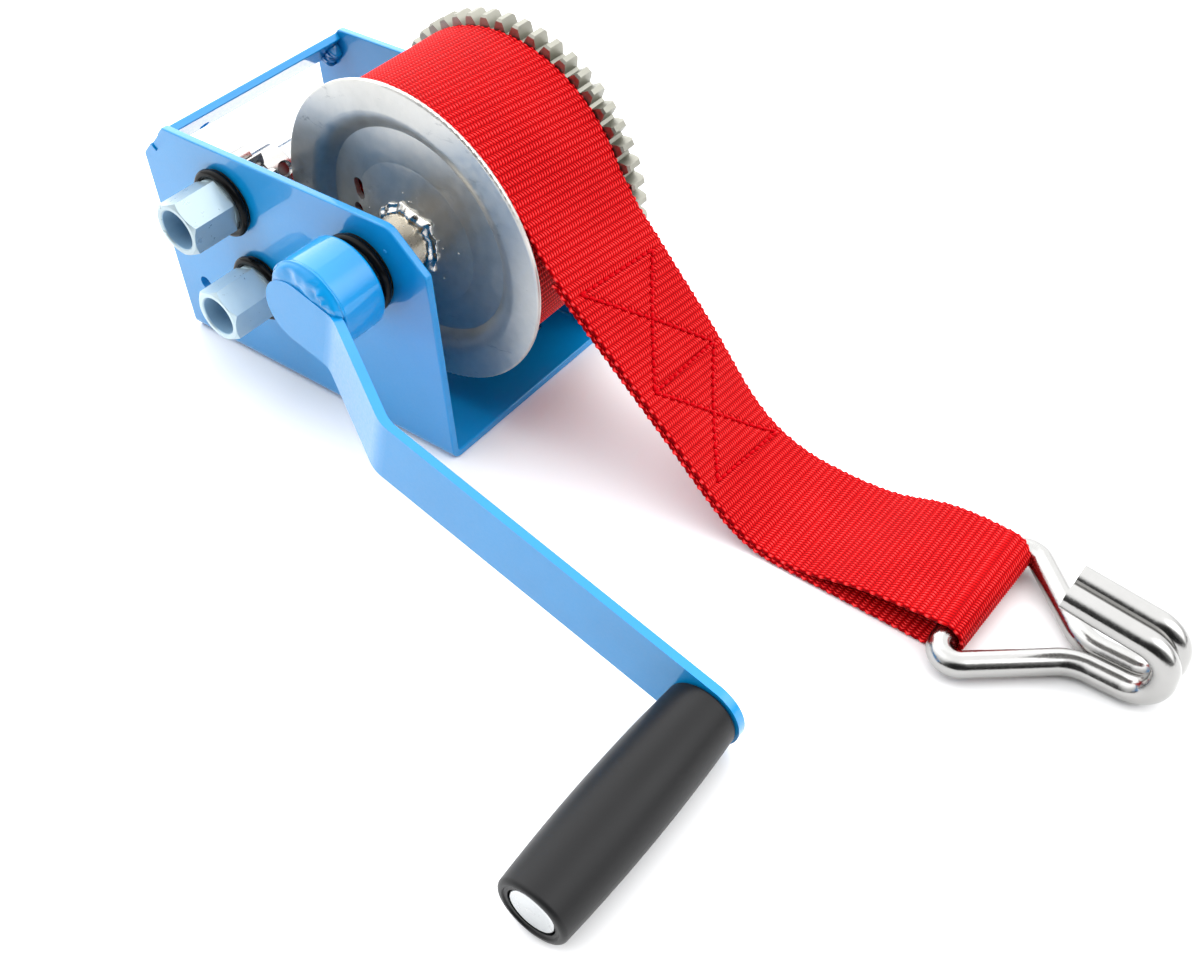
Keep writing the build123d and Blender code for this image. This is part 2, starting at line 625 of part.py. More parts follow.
def nose(r, w):
    return (pc[0] + r * e[0] - w * e[1], pc[1] + r * e[1] + w * e[0])


engaged = [nose(58.4, -2.2), nose(54.3, -0.7), nose(54.3, 0.9), nose(57.5, 1.4), nose(62.0, 2.0),
           (19.0, 10.6), (pawl_x, 7.8), (-58.0, 9.6), (-63.0, 11.2), (-63.0, 15.2), (-58.0, 17.4),
           (-9.0, 20.4), (pawl_x, 21.2), (4.0, 19.6), (12.0, 17.6)]
with BuildPart() as pawl:
    with BuildSketch(side(84.0)):
        with BuildLine():
            Polyline(*turn(engaged, pawl_x, pawl_z, -pawl_open_deg), close=True)
        make_face()
    extrude(amount=6.4)
    with BuildSketch(side(86.0, pawl_x, pawl_z)):
        Circle(6.5)
    extrude(amount=8.4)
    with BuildSketch(side(90, pawl_x, pawl_z)):
        Circle(4.0 + 0.06)
    extrude(amount=20, mode=Mode.SUBTRACT)
pawl.part.label = "pawl"
export_step(pawl.part, "parts/pawl.step")

with BuildPart() as pawl_pin:
    with BuildSketch(side(frame_w + 1.4, pawl_x, pawl_z)):
        Circle(5.6)
    extrude(amount=1.4)
    fillet(pawl_pin.faces().sort_by(Axis.Y)[-1].edges(), 0.9)
    with BuildSketch(side(frame_w, pawl_x, pawl_z)):
        Circle(4.0 - seat)
    extrude(amount=frame_w - 77.2)
    with BuildSketch(side(77.2, pawl_x, pawl_z)):
        Circle(6.6)
    extrude(amount=2.0)
    chamfer(pawl_pin.faces().sort_by(Axis.Y)[0].edges(), 0.6)
pawl_pin.part.label = "pawl_pivot_pin"
export_step(pawl_pin.part, "parts/pawl_pivot_pin.step")

with BuildPart() as pawl_spring:
    with BuildSketch(axial(pawl_x, pawl_z)):
        with BuildLine():
            Polyline((4.15, yy(86.25)), (4.15, yy(86.95)), (7.6, yy(87.95)), (7.6, yy(87.25)), close=True)
        make_face()
    revolve(axis=y_axis(pawl_x, pawl_z))
pawl_spring.part.label = "pawl_spring_washer"
export_step(pawl_spring.part, "parts/pawl_spring_washer.step")

# ---------------------------------------------------------------- crank
ca, sa = math.cos(math.radians(arm_deg)), math.sin(math.radians(arm_deg))


def arm_plane(y):
    """Plane with local x along the arm and local y along Y, at the drum axis."""
    return Plane(origin=(x_drum, y, z_drum), x_dir=(ca, 0, sa), z_dir=(-sa, 0, ca))


with BuildPart() as socket:
    with BuildSketch(side(socket_y, x_drum, z_drum)):
        Circle(socket_r)
    extrude(amount=socket_y - arm_in - 0.02)
    fillet(socket.faces().sort_by(Axis.Y)[-1].edges(), 1.2)
    fillet(socket.faces().sort_by(Axis.Y)[0].edges(), 1.0)
    with BuildSketch(side(0, x_drum, z_drum)):
        RegularPolygon(hex_af / 2 + 0.25, 6, major_radius=False, rotation=arm_deg + 30)
    extrude(amount=40, mode=Mode.SUBTRACT)
socket.part.label = "crank_socket"
export_step(socket.part, "parts/crank_socket.step")

grip_s = (grip_x - x_drum) * ca + (grip_z - z_drum) * sa
with BuildPart() as arm:
    with BuildSketch(arm_plane(y0).offset(-60)) as arm_section:
        with BuildLine():
            Polyline((-30, arm_in - arm_t), (-30, arm_in), (jog_a, arm_in), (jog_b, arm_out), (grip_s + 40, arm_out),
                     (grip_s + 40, arm_out - arm_t), (jog_b - 1.4, arm_out - arm_t), (jog_a - 1.4, arm_in - arm_t),
                     close=True)
        make_face()
        for at_s, at_d, bend in ((jog_a, arm_in, arm_bend_out), (jog_a - 1.4, arm_in - arm_t, arm_bend_in),
                                 (jog_b, arm_out, arm_bend_in), (jog_b - 1.4, arm_out - arm_t, arm_bend_out)):
            fillet([v for v in arm_section.vertices()
                    if abs(v.X - at_s) < 0.05 and abs(v.Y - at_d) < 0.05], bend)
    extrude(amount=120)
    with BuildSketch(Plane(origin=(x_drum, 0, z_drum), x_dir=(ca, 0, sa), z_dir=(0, -1, 0))):
        with BuildLine():
            top, bot = arm_off + arm_w / 2, arm_off - arm_w / 2
            g1 = Line((arm_end, top), (grip_s, top))
            g2 = ThreePointArc((grip_s, top), (grip_s + arm_w / 2, arm_off), (grip_s, bot))
            g3 = Line((grip_s, bot), (arm_end, bot))
            g4 = ThreePointArc((arm_end, bot), (arm_end - arm_w / 2, arm_off), (arm_end, top))
        make_face()
        with Locations((grip_s, arm_off)):
            Circle(5.0, mode=Mode.SUBTRACT)
    extrude(amount=200, both=True, mode=Mode.INTERSECT)
arm.part.label = "crank_arm"
export_step(arm.part, "parts/crank_arm.step")

top = arm_off + arm_w / 2
with BuildPart() as crank_weld:
    with BuildSketch(Plane(origin=(x_drum - 17 * ca, 0, z_drum - 17 * sa), x_dir=(0, 1, 0), z_dir=(ca, 0, sa))):
        with BuildLine():
            w1 = Line((yy(arm_in) - 0.01, top + 0.02), (yy(arm_in) - 2.6, top + 0.02))
            w2 = ThreePointArc(w1 @ 1, (yy(arm_in) - 1.9, top + 4.4), (yy(arm_in) - 0.01, top + 8.4))
            Line(w2 @ 1, w1 @ 0)
        make_face()
    extrude(amount=34)
    # the bead goes on round the arm's rounded end
    with BuildSketch(Plane(origin=(x_drum, yy(arm_in) - 0.01, z_drum), x_dir=(ca, 0, sa), z_dir=(0, -1, 0))):
        with Locations((-9.0, 4.4)):
            Rectangle(10.0, 8.0)
        with Locations((arm_end, arm_off)):
            Circle(arm_w / 2 + 0.02, mode=Mode.SUBTRACT)
    extrude(amount=1.6)
    with BuildSketch(side(0, x_drum, z_drum)):
        Circle(socket_r - 0.9)
    extrude(amount=60, mode=Mode.INTERSECT)
crank_weld.part.label = "crank_weld"
export_step(crank_weld.part, "parts/crank_weld.step")

grip_a = arm_out - arm_t - 0.4     # arm-side end of the grip
grip_b = grip_a - grip_len         # free end
gx = x_drum + grip_s * ca - arm_off * sa
gz = z_drum + grip_s * sa + arm_off * ca
with BuildPart() as grip_pin:
    with BuildSketch(side(arm_out, gx, gz)):
        Circle(5.0 - seat)
    extrude(amount=arm_out - (grip_b + 3.0))
    with BuildSketch(side(arm_out + 2.2, gx, gz)):
        Circle(7.5)
    extrude(amount=2.2)
    fillet(grip_pin.faces().sort_by(Axis.Y)[-1].edges(), 1.4)
    with BuildSketch(side(grip_b + 3.0, gx, gz)):
        Circle(7.6)
    extrude(amount=2.4)
    fillet(grip_pin.faces().sort_by(Axis.Y)[0].edges(), 0.7)
grip_pin.part.label = "grip_pin"
export_step(grip_pin.part, "parts/grip_pin.step")

with BuildPart() as grip:
    with BuildSketch(axial(gx, gz)):
        with BuildLine():
            b1 = Line((5.15, yy(grip_a)), (10.9, yy(grip_a)))
            b2 = ThreePointArc(b1 @ 1, (11.5, yy(grip_a - 0.25)), (11.7, yy(grip_a - 0.9)))
            b3 = ThreePointArc(b2 @ 1, (12.9, yy(grip_a - 41.0)), (11.7, yy(grip_b + 1.6)))
            b4 = ThreePointArc(b3 @ 1, (11.25, yy(grip_b + 0.5)), (10.2, yy(grip_b)))
            b5 = Polyline(b4 @ 1, (9.6, yy(grip_b)), (9.2, yy(grip_b + 0.5)), (8.1, yy(grip_b + 0.6)), (8.0, yy(grip_b + 3.4)),
                          (5.15, yy(grip_b + 3.4)), b1 @ 0)
        make_face()
    revolve(axis=y_axis(gx, gz))
grip.part.label = "crank_grip"
export_step(grip.part, "parts/crank_grip.step")

# ---------------------------------------------------------------- strap end
lap_r = roll_r + 0.4               # the last turn lies on the roll
lap_o = lap_r + web_t
lap_deg = 14.0                     # where it leaves the drum
leave = polar(1.0, lap_deg)
down = (leave[1], -leave[0])
loop_in, loop_out = wire_r + 0.85, wire_r + 0.85 + 1.6
split_x = 172.0                    # the sewn lap opens into the loop here

with BuildPart() as tail:
    with BuildSketch(side(web_y + web_w)):
        with BuildLine():
            p_in = (x_drum + lap_r * leave[0], z_drum + lap_r * leave[1])
            p_out = (x_drum + lap_o * leave[0], z_drum + lap_o * leave[1])
            q_in, q_out = polar(lap_r, 250.0), polar(lap_o, 250.0)
            m_in, m_out = polar(lap_r, 132.0), polar(lap_o, 132.0)
            o1 = ThreePointArc((x_drum + q_out[0], z_drum + q_out[1]), (x_drum + m_out[0], z_drum + m_out[1]), p_out)
            o2 = Spline(p_out, (104.0, 72.0), (131.0, 45.0), (146.0, 29.0), (163.0, 10.5), (split_x + 10, 5.5),
                        tangents=[down, (1, -0.12)])
            o3 = Line(o2 @ 1, (split_x + 10, 0.9))
            o4 = Spline(o3 @ 1, (159.0, 8.0), (142.0, 26.5), (127.0, 42.5), (100.0, 69.5), p_in,
                        tangents=[(-1, 0.25), (-down[0], -down[1])])
            o5 = ThreePointArc(p_in, (x_drum + m_in[0], z_drum + m_in[1]), (x_drum + q_in[0], z_drum + q_in[1]))
            Line(o5 @ 1, o1 @ 0)
        make_face()
    extrude(amount=web_w)
    with BuildSketch(side(65.9)):
        with BuildLine():
            Polyline((split_x + 4, 4.6), (bar_x, bar_z + loop_out), (bar_x, bar_z - loop_out), (split_x + 4, 0.25), close=True)
        make_face()
        with Locations((bar_x, bar_z)):
            Circle(loop_out)
        with Locations((bar_x, bar_z)):
            Circle(loop_in, mode=Mode.SUBTRACT)
        with BuildLine():
            Polyline((split_x + 22, 3.4), (bar_x, bar_z + loop_in), (bar_x, bar_z - loop_in), (split_x + 22, 2.5), close=True)
        make_face(mode=Mode.SUBTRACT)
    extrude(amount=43.9)
tail.part.label = "strap_tail"
export_step(tail.part, "parts/strap_tail.step")

# double J hook bent from one wire
hook_y = yy(42.95)
leg = wire_r + 0.08                # half spacing of the two legs
leg_z, bend = wire_r + 0.2, 10.35
front_x, tip_x, neck_x = 312.4, 279.7, 286.7
top_z = leg_z + 2 * bend + 0.15
tip_z = top_z + (front_x - tip_x) * math.tan(math.radians(8.56))   # the mouth opens towards the tips
near_v, far_v = yy(9.4), yy(78.4)
with BuildPart() as hook:
    with BuildLine() as wire:
        soft_path([(tip_x, hook_y - leg, tip_z), (front_x, hook_y - leg, top_z), (front_x, hook_y - leg, leg_z),
                   (neck_x, hook_y - leg, leg_z + 0.2), (bar_x, near_v, bar_z), (bar_x, far_v, bar_z),
                   (neck_x, hook_y + leg, leg_z + 0.2), (front_x, hook_y + leg, leg_z),
                   (front_x, hook_y + leg, top_z), (tip_x, hook_y + leg, tip_z)],
                  [9.6, bend, 15.4, 5.4, 6.2, 15.4, bend, 9.6])
    with BuildSketch(Plane(origin=wire.line @ 0, z_dir=wire.line % 0)):
        Circle(wire_r)
    sweep()
hook.part.label = "strap_hook"
export_step(hook.part, "parts/strap_hook.step")

print("lower shaft", round(x_low, 3), round(z_low, 3), "upper shaft", round(x_up, 3), round(z_up, 3))
print("grip axis", round(gx, 3), round(gz, 3), "grip y", round(yy(grip_a), 3), round(yy(grip_b), 3))
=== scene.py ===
import bpy
import math
import numpy as np
from mathutils import Matrix, Vector


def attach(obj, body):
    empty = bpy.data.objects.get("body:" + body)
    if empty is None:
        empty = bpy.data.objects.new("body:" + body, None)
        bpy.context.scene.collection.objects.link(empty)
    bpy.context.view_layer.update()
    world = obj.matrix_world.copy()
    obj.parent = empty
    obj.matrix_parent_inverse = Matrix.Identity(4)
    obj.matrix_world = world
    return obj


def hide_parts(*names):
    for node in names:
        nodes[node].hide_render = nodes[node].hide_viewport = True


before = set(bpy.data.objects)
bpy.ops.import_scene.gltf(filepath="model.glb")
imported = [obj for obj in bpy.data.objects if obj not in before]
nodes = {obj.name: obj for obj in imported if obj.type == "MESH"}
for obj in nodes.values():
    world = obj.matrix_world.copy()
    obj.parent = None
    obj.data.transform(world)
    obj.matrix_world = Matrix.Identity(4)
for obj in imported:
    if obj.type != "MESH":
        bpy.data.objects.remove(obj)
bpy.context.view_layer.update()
scene = bpy.context.scene
scene.view_settings.view_transform = "Standard"

MM = 0.001

# ------------------------------------------------------------------ camera
cam_data = bpy.data.cameras.new("camera")
cam = bpy.data.objects.new("camera", cam_data)
scene.collection.objects.link(cam)
right, up, back = (0.793058, 0.607714, -0.041749), (-0.401071, 0.572518, 0.715098), (0.458477, -0.550370, 0.697776)
place = (0.346488, -0.295606, 0.346190)
cam.matrix_world = Matrix([[right[i], up[i], back[i], place[i]] for i in range(3)] + [[0, 0, 0, 1]])
cam_data.sensor_fit = "HORIZONTAL"
cam_data.sensor_width = 36.0
cam_data.lens = 42.139
cam_data.shift_x, cam_data.shift_y = -0.0012, -0.0007
cam_data.clip_start = 0.01
scene.camera = cam


# ------------------------------------------------------------------ mesh help
def add_mesh(name, verts, faces, smooth=True, scale=MM):
    me = bpy.data.meshes.new(name)
    me.from_pydata((np.asarray(verts, float) * scale).tolist(), [], [list(map(int, f)) for f in faces])
    me.validate()
    me.update()
    if smooth:
        me.polygons.foreach_set("use_smooth", np.ones(len(me.polygons), bool))
    ob = bpy.data.objects.new(name, me)
    scene.collection.objects.link(ob)
    return ob


def ring_faces(rows, n, closed):
    """Quads between successive closed sections of n points; closed also joins the last row to the first."""
    last = rows if closed else rows - 1
    j = np.arange(last)[:, None]
    i = np.arange(n)[None, :]
    a = j * n + i
    b = j * n + (i + 1) % n
    c = ((j + 1) % rows) * n + (i + 1) % n
    d = ((j + 1) % rows) * n + i
    return np.stack([a, b, c, d], axis=2).reshape(-1, 4)


def set_uv(ob, name, per_face):
    """per_face: (faces, 4, 2) for the leading quads; the corners of other faces stay at (0, 0)."""
    me = ob.data
    layer = me.uv_layers.new(name=name)
    flat = np.zeros((len(me.loops), 2), np.float32)
    k = min(len(flat), per_face.shape[0] * 4)
    flat[:k] = per_face.reshape(-1, 2)[:k]
    layer.data.foreach_set("uv", flat.ravel())


rng = np.random.default_rng(7)


# ------------------------------------------------------------------ strap path (millimetres)
DX, DZ = 40.0, 72.0                # drum axis
R_OUT = 53.1                       # crest of the last turn
WEB_T = 1.6
RIB = 2.4                          # rib pitch along the strap
COLS = 84                          # two columns to each yarn float
BAR = (252.0, 6.9)
LOOP_R = 6.7

NEAR_XZ = [(89.8, 94.8), (96.6, 84.3), (103.8, 75.9), (119.4, 60.9), (135.2, 46.0), (151.2, 30.9), (163.6, 18.4),
           (174.5, 8.8), (184.0, 4.4), (193.0, 3.4), (201.0, 4.1), (209.0, 6.3), (219.0, 9.3), (230.0, 11.3),
           (241.0, 12.7), (248.0, 13.4)]
FAR_XZ = [(94.9, 81.9), (99.0, 75.9), (103.9, 70.6), (113.7, 59.4), (124.9, 46.8), (137.2, 31.8), (147.4, 19.2),
          (158.0, 10.2), (168.4, 5.6), (178.0, 3.8), (187.0, 3.4), (196.0, 3.5), (204.0, 4.3), (211.0, 5.7),
          (218.0, 8.2), (225.0, 10.8), (232.0, 12.4), (240.0, 13.2), (248.0, 13.5)]
Y_NEAR = [(0, -18.7), (98, -18.7), (140, -19.9), (180, -21.2), (215, -21.9), (252, -22.8)]
Y_FAR = [(0, 31.3), (98, 31.3), (140, 29.5), (180, 27.1), (215, 26.1), (243, 25.0), (252, 24.2)]


def lerp_table(x, table):
    a = np.array(table, float)
    return np.interp(x, a[:, 0], a[:, 1])


def cubic(points, step=0.2):
    """Natural cubic spline through points, sampled about every step."""
    p = np.array(points, float)
    h = np.maximum(np.linalg.norm(np.diff(p, axis=0), axis=1) ** 0.75, 1e-6)
    n = len(p)
    a = np.zeros((n, n))
    b = np.zeros((n, p.shape[1]))
    a[0, 0] = a[-1, -1] = 1.0
    for i in range(1, n - 1):
        a[i, i - 1], a[i, i], a[i, i + 1] = h[i - 1], 2 * (h[i - 1] + h[i]), h[i]
        b[i] = 6 * ((p[i + 1] - p[i]) / h[i] - (p[i] - p[i - 1]) / h[i - 1])
    m = np.linalg.solve(a, b)
    out = []
    for i in range(n - 1):
        k = max(2, int(np.linalg.norm(p[i + 1] - p[i]) / step))
        t = np.linspace(0, h[i], k, endpoint=False)[:, None]
        u = h[i] - t
        out.append(m[i] * u ** 3 / (6 * h[i]) + m[i + 1] * t ** 3 / (6 * h[i])
                   + (p[i] / h[i] - m[i] * h[i] / 6) * u + (p[i + 1] / h[i] - m[i + 1] * h[i] / 6) * t)
    out.append(p[-1:])
    return np.concatenate(out)


def arc_length(p):
    return np.concatenate([[0.0], np.cumsum(np.linalg.norm(np.diff(p, axis=0), axis=1))])


def resample(p, s):
    d = arc_length(p)
    return np.stack([np.interp(s, d, p[:, k]) for k in range(p.shape[1])], axis=1)


def soften(p, passes):
    q = p.copy()
    for _ in range(passes):
        q[1:-1] = 0.25 * q[:-2] + 0.5 * q[1:-1] + 0.25 * q[2:]
    return q


def edge_upper(points, table, leave_deg, start_deg):
    """Edge of the outer face from the back of the drum to the top of the hook bar."""
    th = np.radians(np.arange(start_deg, leave_deg, -0.25))
    run = (math.radians(start_deg) - th) * R_OUT
    r = R_OUT - 1.95 * np.clip(1 - run / 12.0, 0, 1) ** 1.5
    drum = np.stack([DX + r * np.cos(th), DZ + r * np.sin(th)], axis=1)
    loop = [(BAR[0] + LOOP_R * math.cos(math.radians(d)), BAR[1] + LOOP_R * math.sin(math.radians(d))) for d in (96, 70, 45)]
    free = cubic([tuple(drum[-12]), tuple(drum[-6]), tuple(drum[-1])] + list(points) + loop)
    cut = np.argmin(np.hypot(free[:, 0] - drum[-6, 0], free[:, 1] - drum[-6, 1]))
    stop = np.argmin(np.hypot(free[:, 0] - loop[0][0], free[:, 1] - loop[0][1]))
    xz = np.concatenate([drum[:-6], free[cut:stop]])
    y = lerp_table(xz[:, 0], table)
    y[:len(drum) - 6] = table[0][1]
    return np.stack([xz[:, 0], y, xz[:, 1]], axis=1)


def frame_of(near, far, w):
    """Points and outward normals of the ruled band at the across fractions w."""
    w = np.broadcast_to(w, (len(near), np.shape(w)[-1]))[:, :, None]
    p = near[:, None, :] + (far - near)[:, None, :] * w
    tn, tf = np.gradient(near, axis=0), np.gradient(far, axis=0)
    t = tn[:, None, :] + (tf - tn)[:, None, :] * w
    n = np.cross(t, (far - near)[:, None, :])
    n /= np.linalg.norm(n, axis=2, keepdims=True)
    return p, n


STEP = RIB / 4
near_up = edge_upper(NEAR_XZ, Y_NEAR, 34.0, 250.0)
far_up = edge_upper(FAR_XZ, Y_FAR, 21.0, 250.0 - math.degrees(5.0 / R_OUT))
len_up = arc_length(near_up)[-1]
rows_up = np.arange(0, len_up, STEP)
near_up = soften(resample(near_up, rows_up), 6)
far_up = soften(resample(far_up, rows_up * (arc_length(far_up)[-1] / len_up)), 6)

# the end turns round the bar and comes back underneath, sewn to the strap from s 236 to s 320
S_LAP, S_LAND = 231.0, 346.0
end_p, end_n = frame_of(near_up, far_up, np.array([0.0, 1.0]))
lower = []
for side, y_shift in ((0, -0.7), (1, -0.7)):
    deg = np.radians(np.arange(92.0, -90.5, -2.0))
    y_end = end_p[-1, side, 1]
    loop_r = LOOP_R + side * 1.1 * np.cos(deg) ** 2
    y_turn = y_end + (y_shift * (deg[0] - deg) / math.pi) - side * 2.2 * np.cos(deg) ** 2
    turn = np.stack([BAR[0] + loop_r * np.cos(deg), y_turn, BAR[1] + loop_r * np.sin(deg)], axis=1)
    i0, i1 = int(S_LAP / STEP), int(S_LAND / STEP)
    under = (end_p[i0:i1, side] - 3.35 * end_n[i0:i1, side])[::-1].copy()
    under[:, 2] = np.maximum(under[:, 2], 0.2)
    under[:, 1] += y_shift
    lay_x = np.arange(BAR[0] - 1.0, under[0, 0] + 0.5, -1.0)
    lay = np.stack([lay_x, np.interp(lay_x, [under[0, 0], BAR[0]], [under[0, 1], turn[-1, 1]]), np.full(len(lay_x), 0.2)], axis=1)
    p = np.concatenate([turn, lay, under])
    lower.append(p)
len_low = arc_length(lower[0])[-1]
rows_low = np.arange(STEP, len_low, STEP)
near_low = soften(resample(lower[0], rows_low), 4)
far_low = soften(resample(lower[1], rows_low * (arc_length(lower[1])[-1] / len_low)), 4)
near_edge = np.concatenate([near_up, near_low])
far_edge = np.concatenate([far_up, far_low])
s_all = np.arange(len(near_edge)) * STEP

# stitch lines as (s, across fraction): two crossed boxes, one after the other
STITCH = [((239.0, 0.10), (239.0, 0.885)), ((239.0, 0.10), (277.6, 0.92)), ((239.0, 0.885), (279.0, 0.13)),
          ((279.0, 0.13), (277.6, 0.92)), ((279.0, 0.13), (317.0, 0.945)), ((277.6, 0.92), (315.5, 0.125)),
          ((315.5, 0.125), (317.0, 0.945))]


def stitch_depth(s, w):
    """How deep the sewing pulls the face in, in millimetres."""
    best = np.full(np.broadcast(s, w).shape, 9.0)
    for (s0, w0), (s1, w1) in STITCH:
        a, b = np.array([s0, w0 * 50]), np.array([s1, w1 * 50])
        d = b - a
        u = np.clip(((s - a[0]) * d[0] + (w * 50 - a[1]) * d[1]) / (d @ d), 0, 1)
        best = np.minimum(best, np.hypot(s - a[0] - u * d[0], w * 50 - a[1] - u * d[1]))
    return 0.55 * np.clip(1 - (best / 1.8) ** 2, 0, 1) ** 1.5


RIB_H = np.array([0.0, -0.06, -0.32, -0.06])
LEAN = 0.62                        # how far a float leans over the length of one rib, in floats


def weave_height(j, i):
    """Height of the outer face at row j and column i: ribs across, split into yarn floats."""
    k = j % 4
    rib = j // 4
    odd = (i + rib) % 2
    float_drop = np.where(k == 2, 0.06, np.where(odd == 1, 0.32, 0.0))
    return RIB_H[k] - float_drop


def weave_lean(j, i):
    """Across fraction of row j and column i: floats lean one way on one rib, the other way on the next."""
    k, rib = (j + 2) % 4, (j + 2) // 4
    shift = (k / 4 - 0.5) * LEAN * np.where(rib % 2 == 0, 1.0, -1.0)
    return (i + 2 * shift * np.clip(np.minimum(i, COLS - i) / 3, 0, 1)) / COLS


def band(near, far, s, thick, first_row):
    """Closed section points of a woven band, row by row: outer face, far selvedge, inner face, near selvedge."""
    across = (far - near) / np.linalg.norm(far - near, axis=1, keepdims=True)
    j = (np.arange(len(near)) + first_row)[:, None]
    i = np.arange(COLS + 1)[None, :]
    w = weave_lean(j, i)
    p, n = frame_of(near, far, w)
    h = weave_height(j, i) - stitch_depth(s[:, None], w)
    squash = np.clip(thick / WEB_T, 0, 1)[:, None]
    outer = p + n * (h * squash)[:, :, None]
    wave = 0.2 * np.cos(2 * math.pi * s / RIB) + 0.05 * np.sin(2 * math.pi * s / 7.1)
    outer[:, 0] -= across * wave[:, None]
    outer[:, -1] += across * wave[:, None]
    outer[:, 0] -= n[:, 0] * 0.16
    outer[:, -1] -= n[:, -1] * 0.16
    wi = np.linspace(1, 0, 7)
    pi, ni = frame_of(near, far, wi)
    hi = RIB_H[(j + 2) % 4]
    inner = pi - ni * (thick[:, None] + hi * 0.7 * squash)[:, :, None]
    inner[:, 0] += across * wave[:, None] * 0.8
    inner[:, -1] -= across * wave[:, None] * 0.8
    far_mid = p[:, -1] - n[:, -1] * thick[:, None] * 0.5 + across * (0.28 + wave)[:, None]
    near_mid = p[:, 0] - n[:, 0] * thick[:, None] * 0.5 - across * (0.28 + wave)[:, None]
    return np.concatenate([outer, far_mid[:, None], inner, near_mid[:, None]], axis=1)


thick = np.full(len(s_all), WEB_T)
thick[:24] = np.interp(s_all[:24], [0, 12], [0.25, WEB_T])
thick[-3:] = (1.45, 1.25, 0.9)
rows = band(near_edge, far_edge, s_all, thick, 0)
R, C = rows.shape[:2]
faces = ring_faces(R, C, False).tolist()
# cut ends: one polygon across the whole section at each end
cap = []
for r, flip in ((0, True), (R - 1, False)):
    o = r * C
    outer_i = [o + int(v) for v in np.round(np.linspace(0, COLS, 7))]
    inner_i = [o + COLS + 2 + v for v in range(6, -1, -1)]
    ring = [o + v for v in range(C)]
    cap.append(ring[::-1] if flip else ring)
strap_tail = add_mesh("strap_tail_webbing", rows.reshape(-1, 3), faces + cap)

u_col = np.concatenate([np.arange(COLS + 1) / 2, [COLS / 2 + 0.15], np.linspace(COLS / 2, 0, 7), [-0.15]])


def weave_uv(R, C, closed, u_col, rows_per_rib=4):
    last = R if closed else R - 1
    j = np.arange(last)[:, None] * np.ones(C)[None, :]
    u0 = np.broadcast_to(u_col, (last, C))
    u1 = np.broadcast_to(np.roll(u_col, -1), (last, C))
    v0, v1 = j / rows_per_rib, (j + 1) / rows_per_rib
    uv = np.stack([np.stack([u0, v0], -1), np.stack([u1, v0], -1), np.stack([u1, v1], -1), np.stack([u0, v1], -1)], axis=2)
    return uv.reshape(-1, 4, 2)


set_uv(strap_tail, "weave", weave_uv(R, C, False, u_col))

# ------------------------------------------------------------------ sewing thread
def tube_stitch(points, radius, sides=6):
    """A short closed thread along points (k, 3), thin at both ends."""
    p = np.array(points, float)
    k = len(p)
    t = np.gradient(p, axis=0)
    t /= np.linalg.norm(t, axis=1, keepdims=True)
    ref = np.array([0.0, 0.0, 1.0]) if abs(t[k // 2, 2]) < 0.8 else np.array([1.0, 0.0, 0.0])
    a = np.cross(t, ref)
    a /= np.linalg.norm(a, axis=1, keepdims=True)
    b = np.cross(t, a)
    prof = np.concatenate([[0.35], np.full(k - 2, 1.0), [0.35]]) * radius
    ang = np.arange(sides) / sides * 2 * math.pi
    ring = p[:, None, :] + (a[:, None, :] * np.cos(ang)[None, :, None] + b[:, None, :] * np.sin(ang)[None, :, None]) * prof[:, None, None]
    v = ring.reshape(-1, 3)
    f = ring_faces(k, sides, False).tolist()
    f.append(list(range(sides))[::-1])
    f.append([(k - 1) * sides + q for q in range(sides)])
    return v, f


def at(near, far, s, w, lift):
    j = np.clip(s / STEP, 0, len(near) - 1.001)
    j0 = int(j)
    fr = j - j0
    nn = near[j0] * (1 - fr) + near[j0 + 1] * fr
    ff = far[j0] * (1 - fr) + far[j0 + 1] * fr
    t = (near[j0 + 1] - near[j0]) * (1 - w) + (far[j0 + 1] - far[j0]) * w
    n = np.cross(t, ff - nn)
    n /= np.linalg.norm(n)
    return nn + (ff - nn) * w + n * lift


tv, tf = [], []
for (s0, w0), (s1, w1) in STITCH:
    length = math.hypot(s1 - s0, (w1 - w0) * 50)
    count = max(1, round(length / 3.1))
    for q in range(count):
        a, b = q / count, (q + 0.86) / count
        for face in (0, 1):
            pts = []
            for u, dip in ((a, -0.85), (a + 0.16 * (b - a), -0.55), (a + 0.5 * (b - a), -0.45), (a + 0.84 * (b - a), -0.55), (b, -0.85)):
                lift = dip if face == 0 else -3.55 - (dip + 0.45)
                pts.append(at(near_up, far_up, s0 + (s1 - s0) * u, w0 + (w1 - w0) * u, lift))
            v, f = tube_stitch(pts, 0.65)
            o = len(tv)
            tv.extend(v.tolist())
            tf.extend([[o + x for x in g] for g in f])
strap_thread = add_mesh("strap_stitching", tv, tf)

# ------------------------------------------------------------------ wound roll
ribs = 134
rr = ribs * 4
ang = np.arange(rr) / rr * 2 * math.pi
y_n, y_f = -18.7, 31.3
jj = np.arange(rr)[:, None]
ii = np.arange(COLS + 1)[None, :]
r_out = 51.0 + weave_height(jj, ii)
wave = 0.2 * np.cos(2 * math.pi * np.arange(rr) / 4)
ys = y_n + (y_f - y_n) * weave_lean(jj, ii)
ys[:, 0] -= wave
ys[:, -1] += wave
r_out[:, 0] -= 0.16
r_out[:, -1] -= 0.16


def polar_rows(r, y, a):
    return np.stack([DX + r * np.cos(a)[:, None], y, DZ + r * np.sin(a)[:, None]], axis=2)


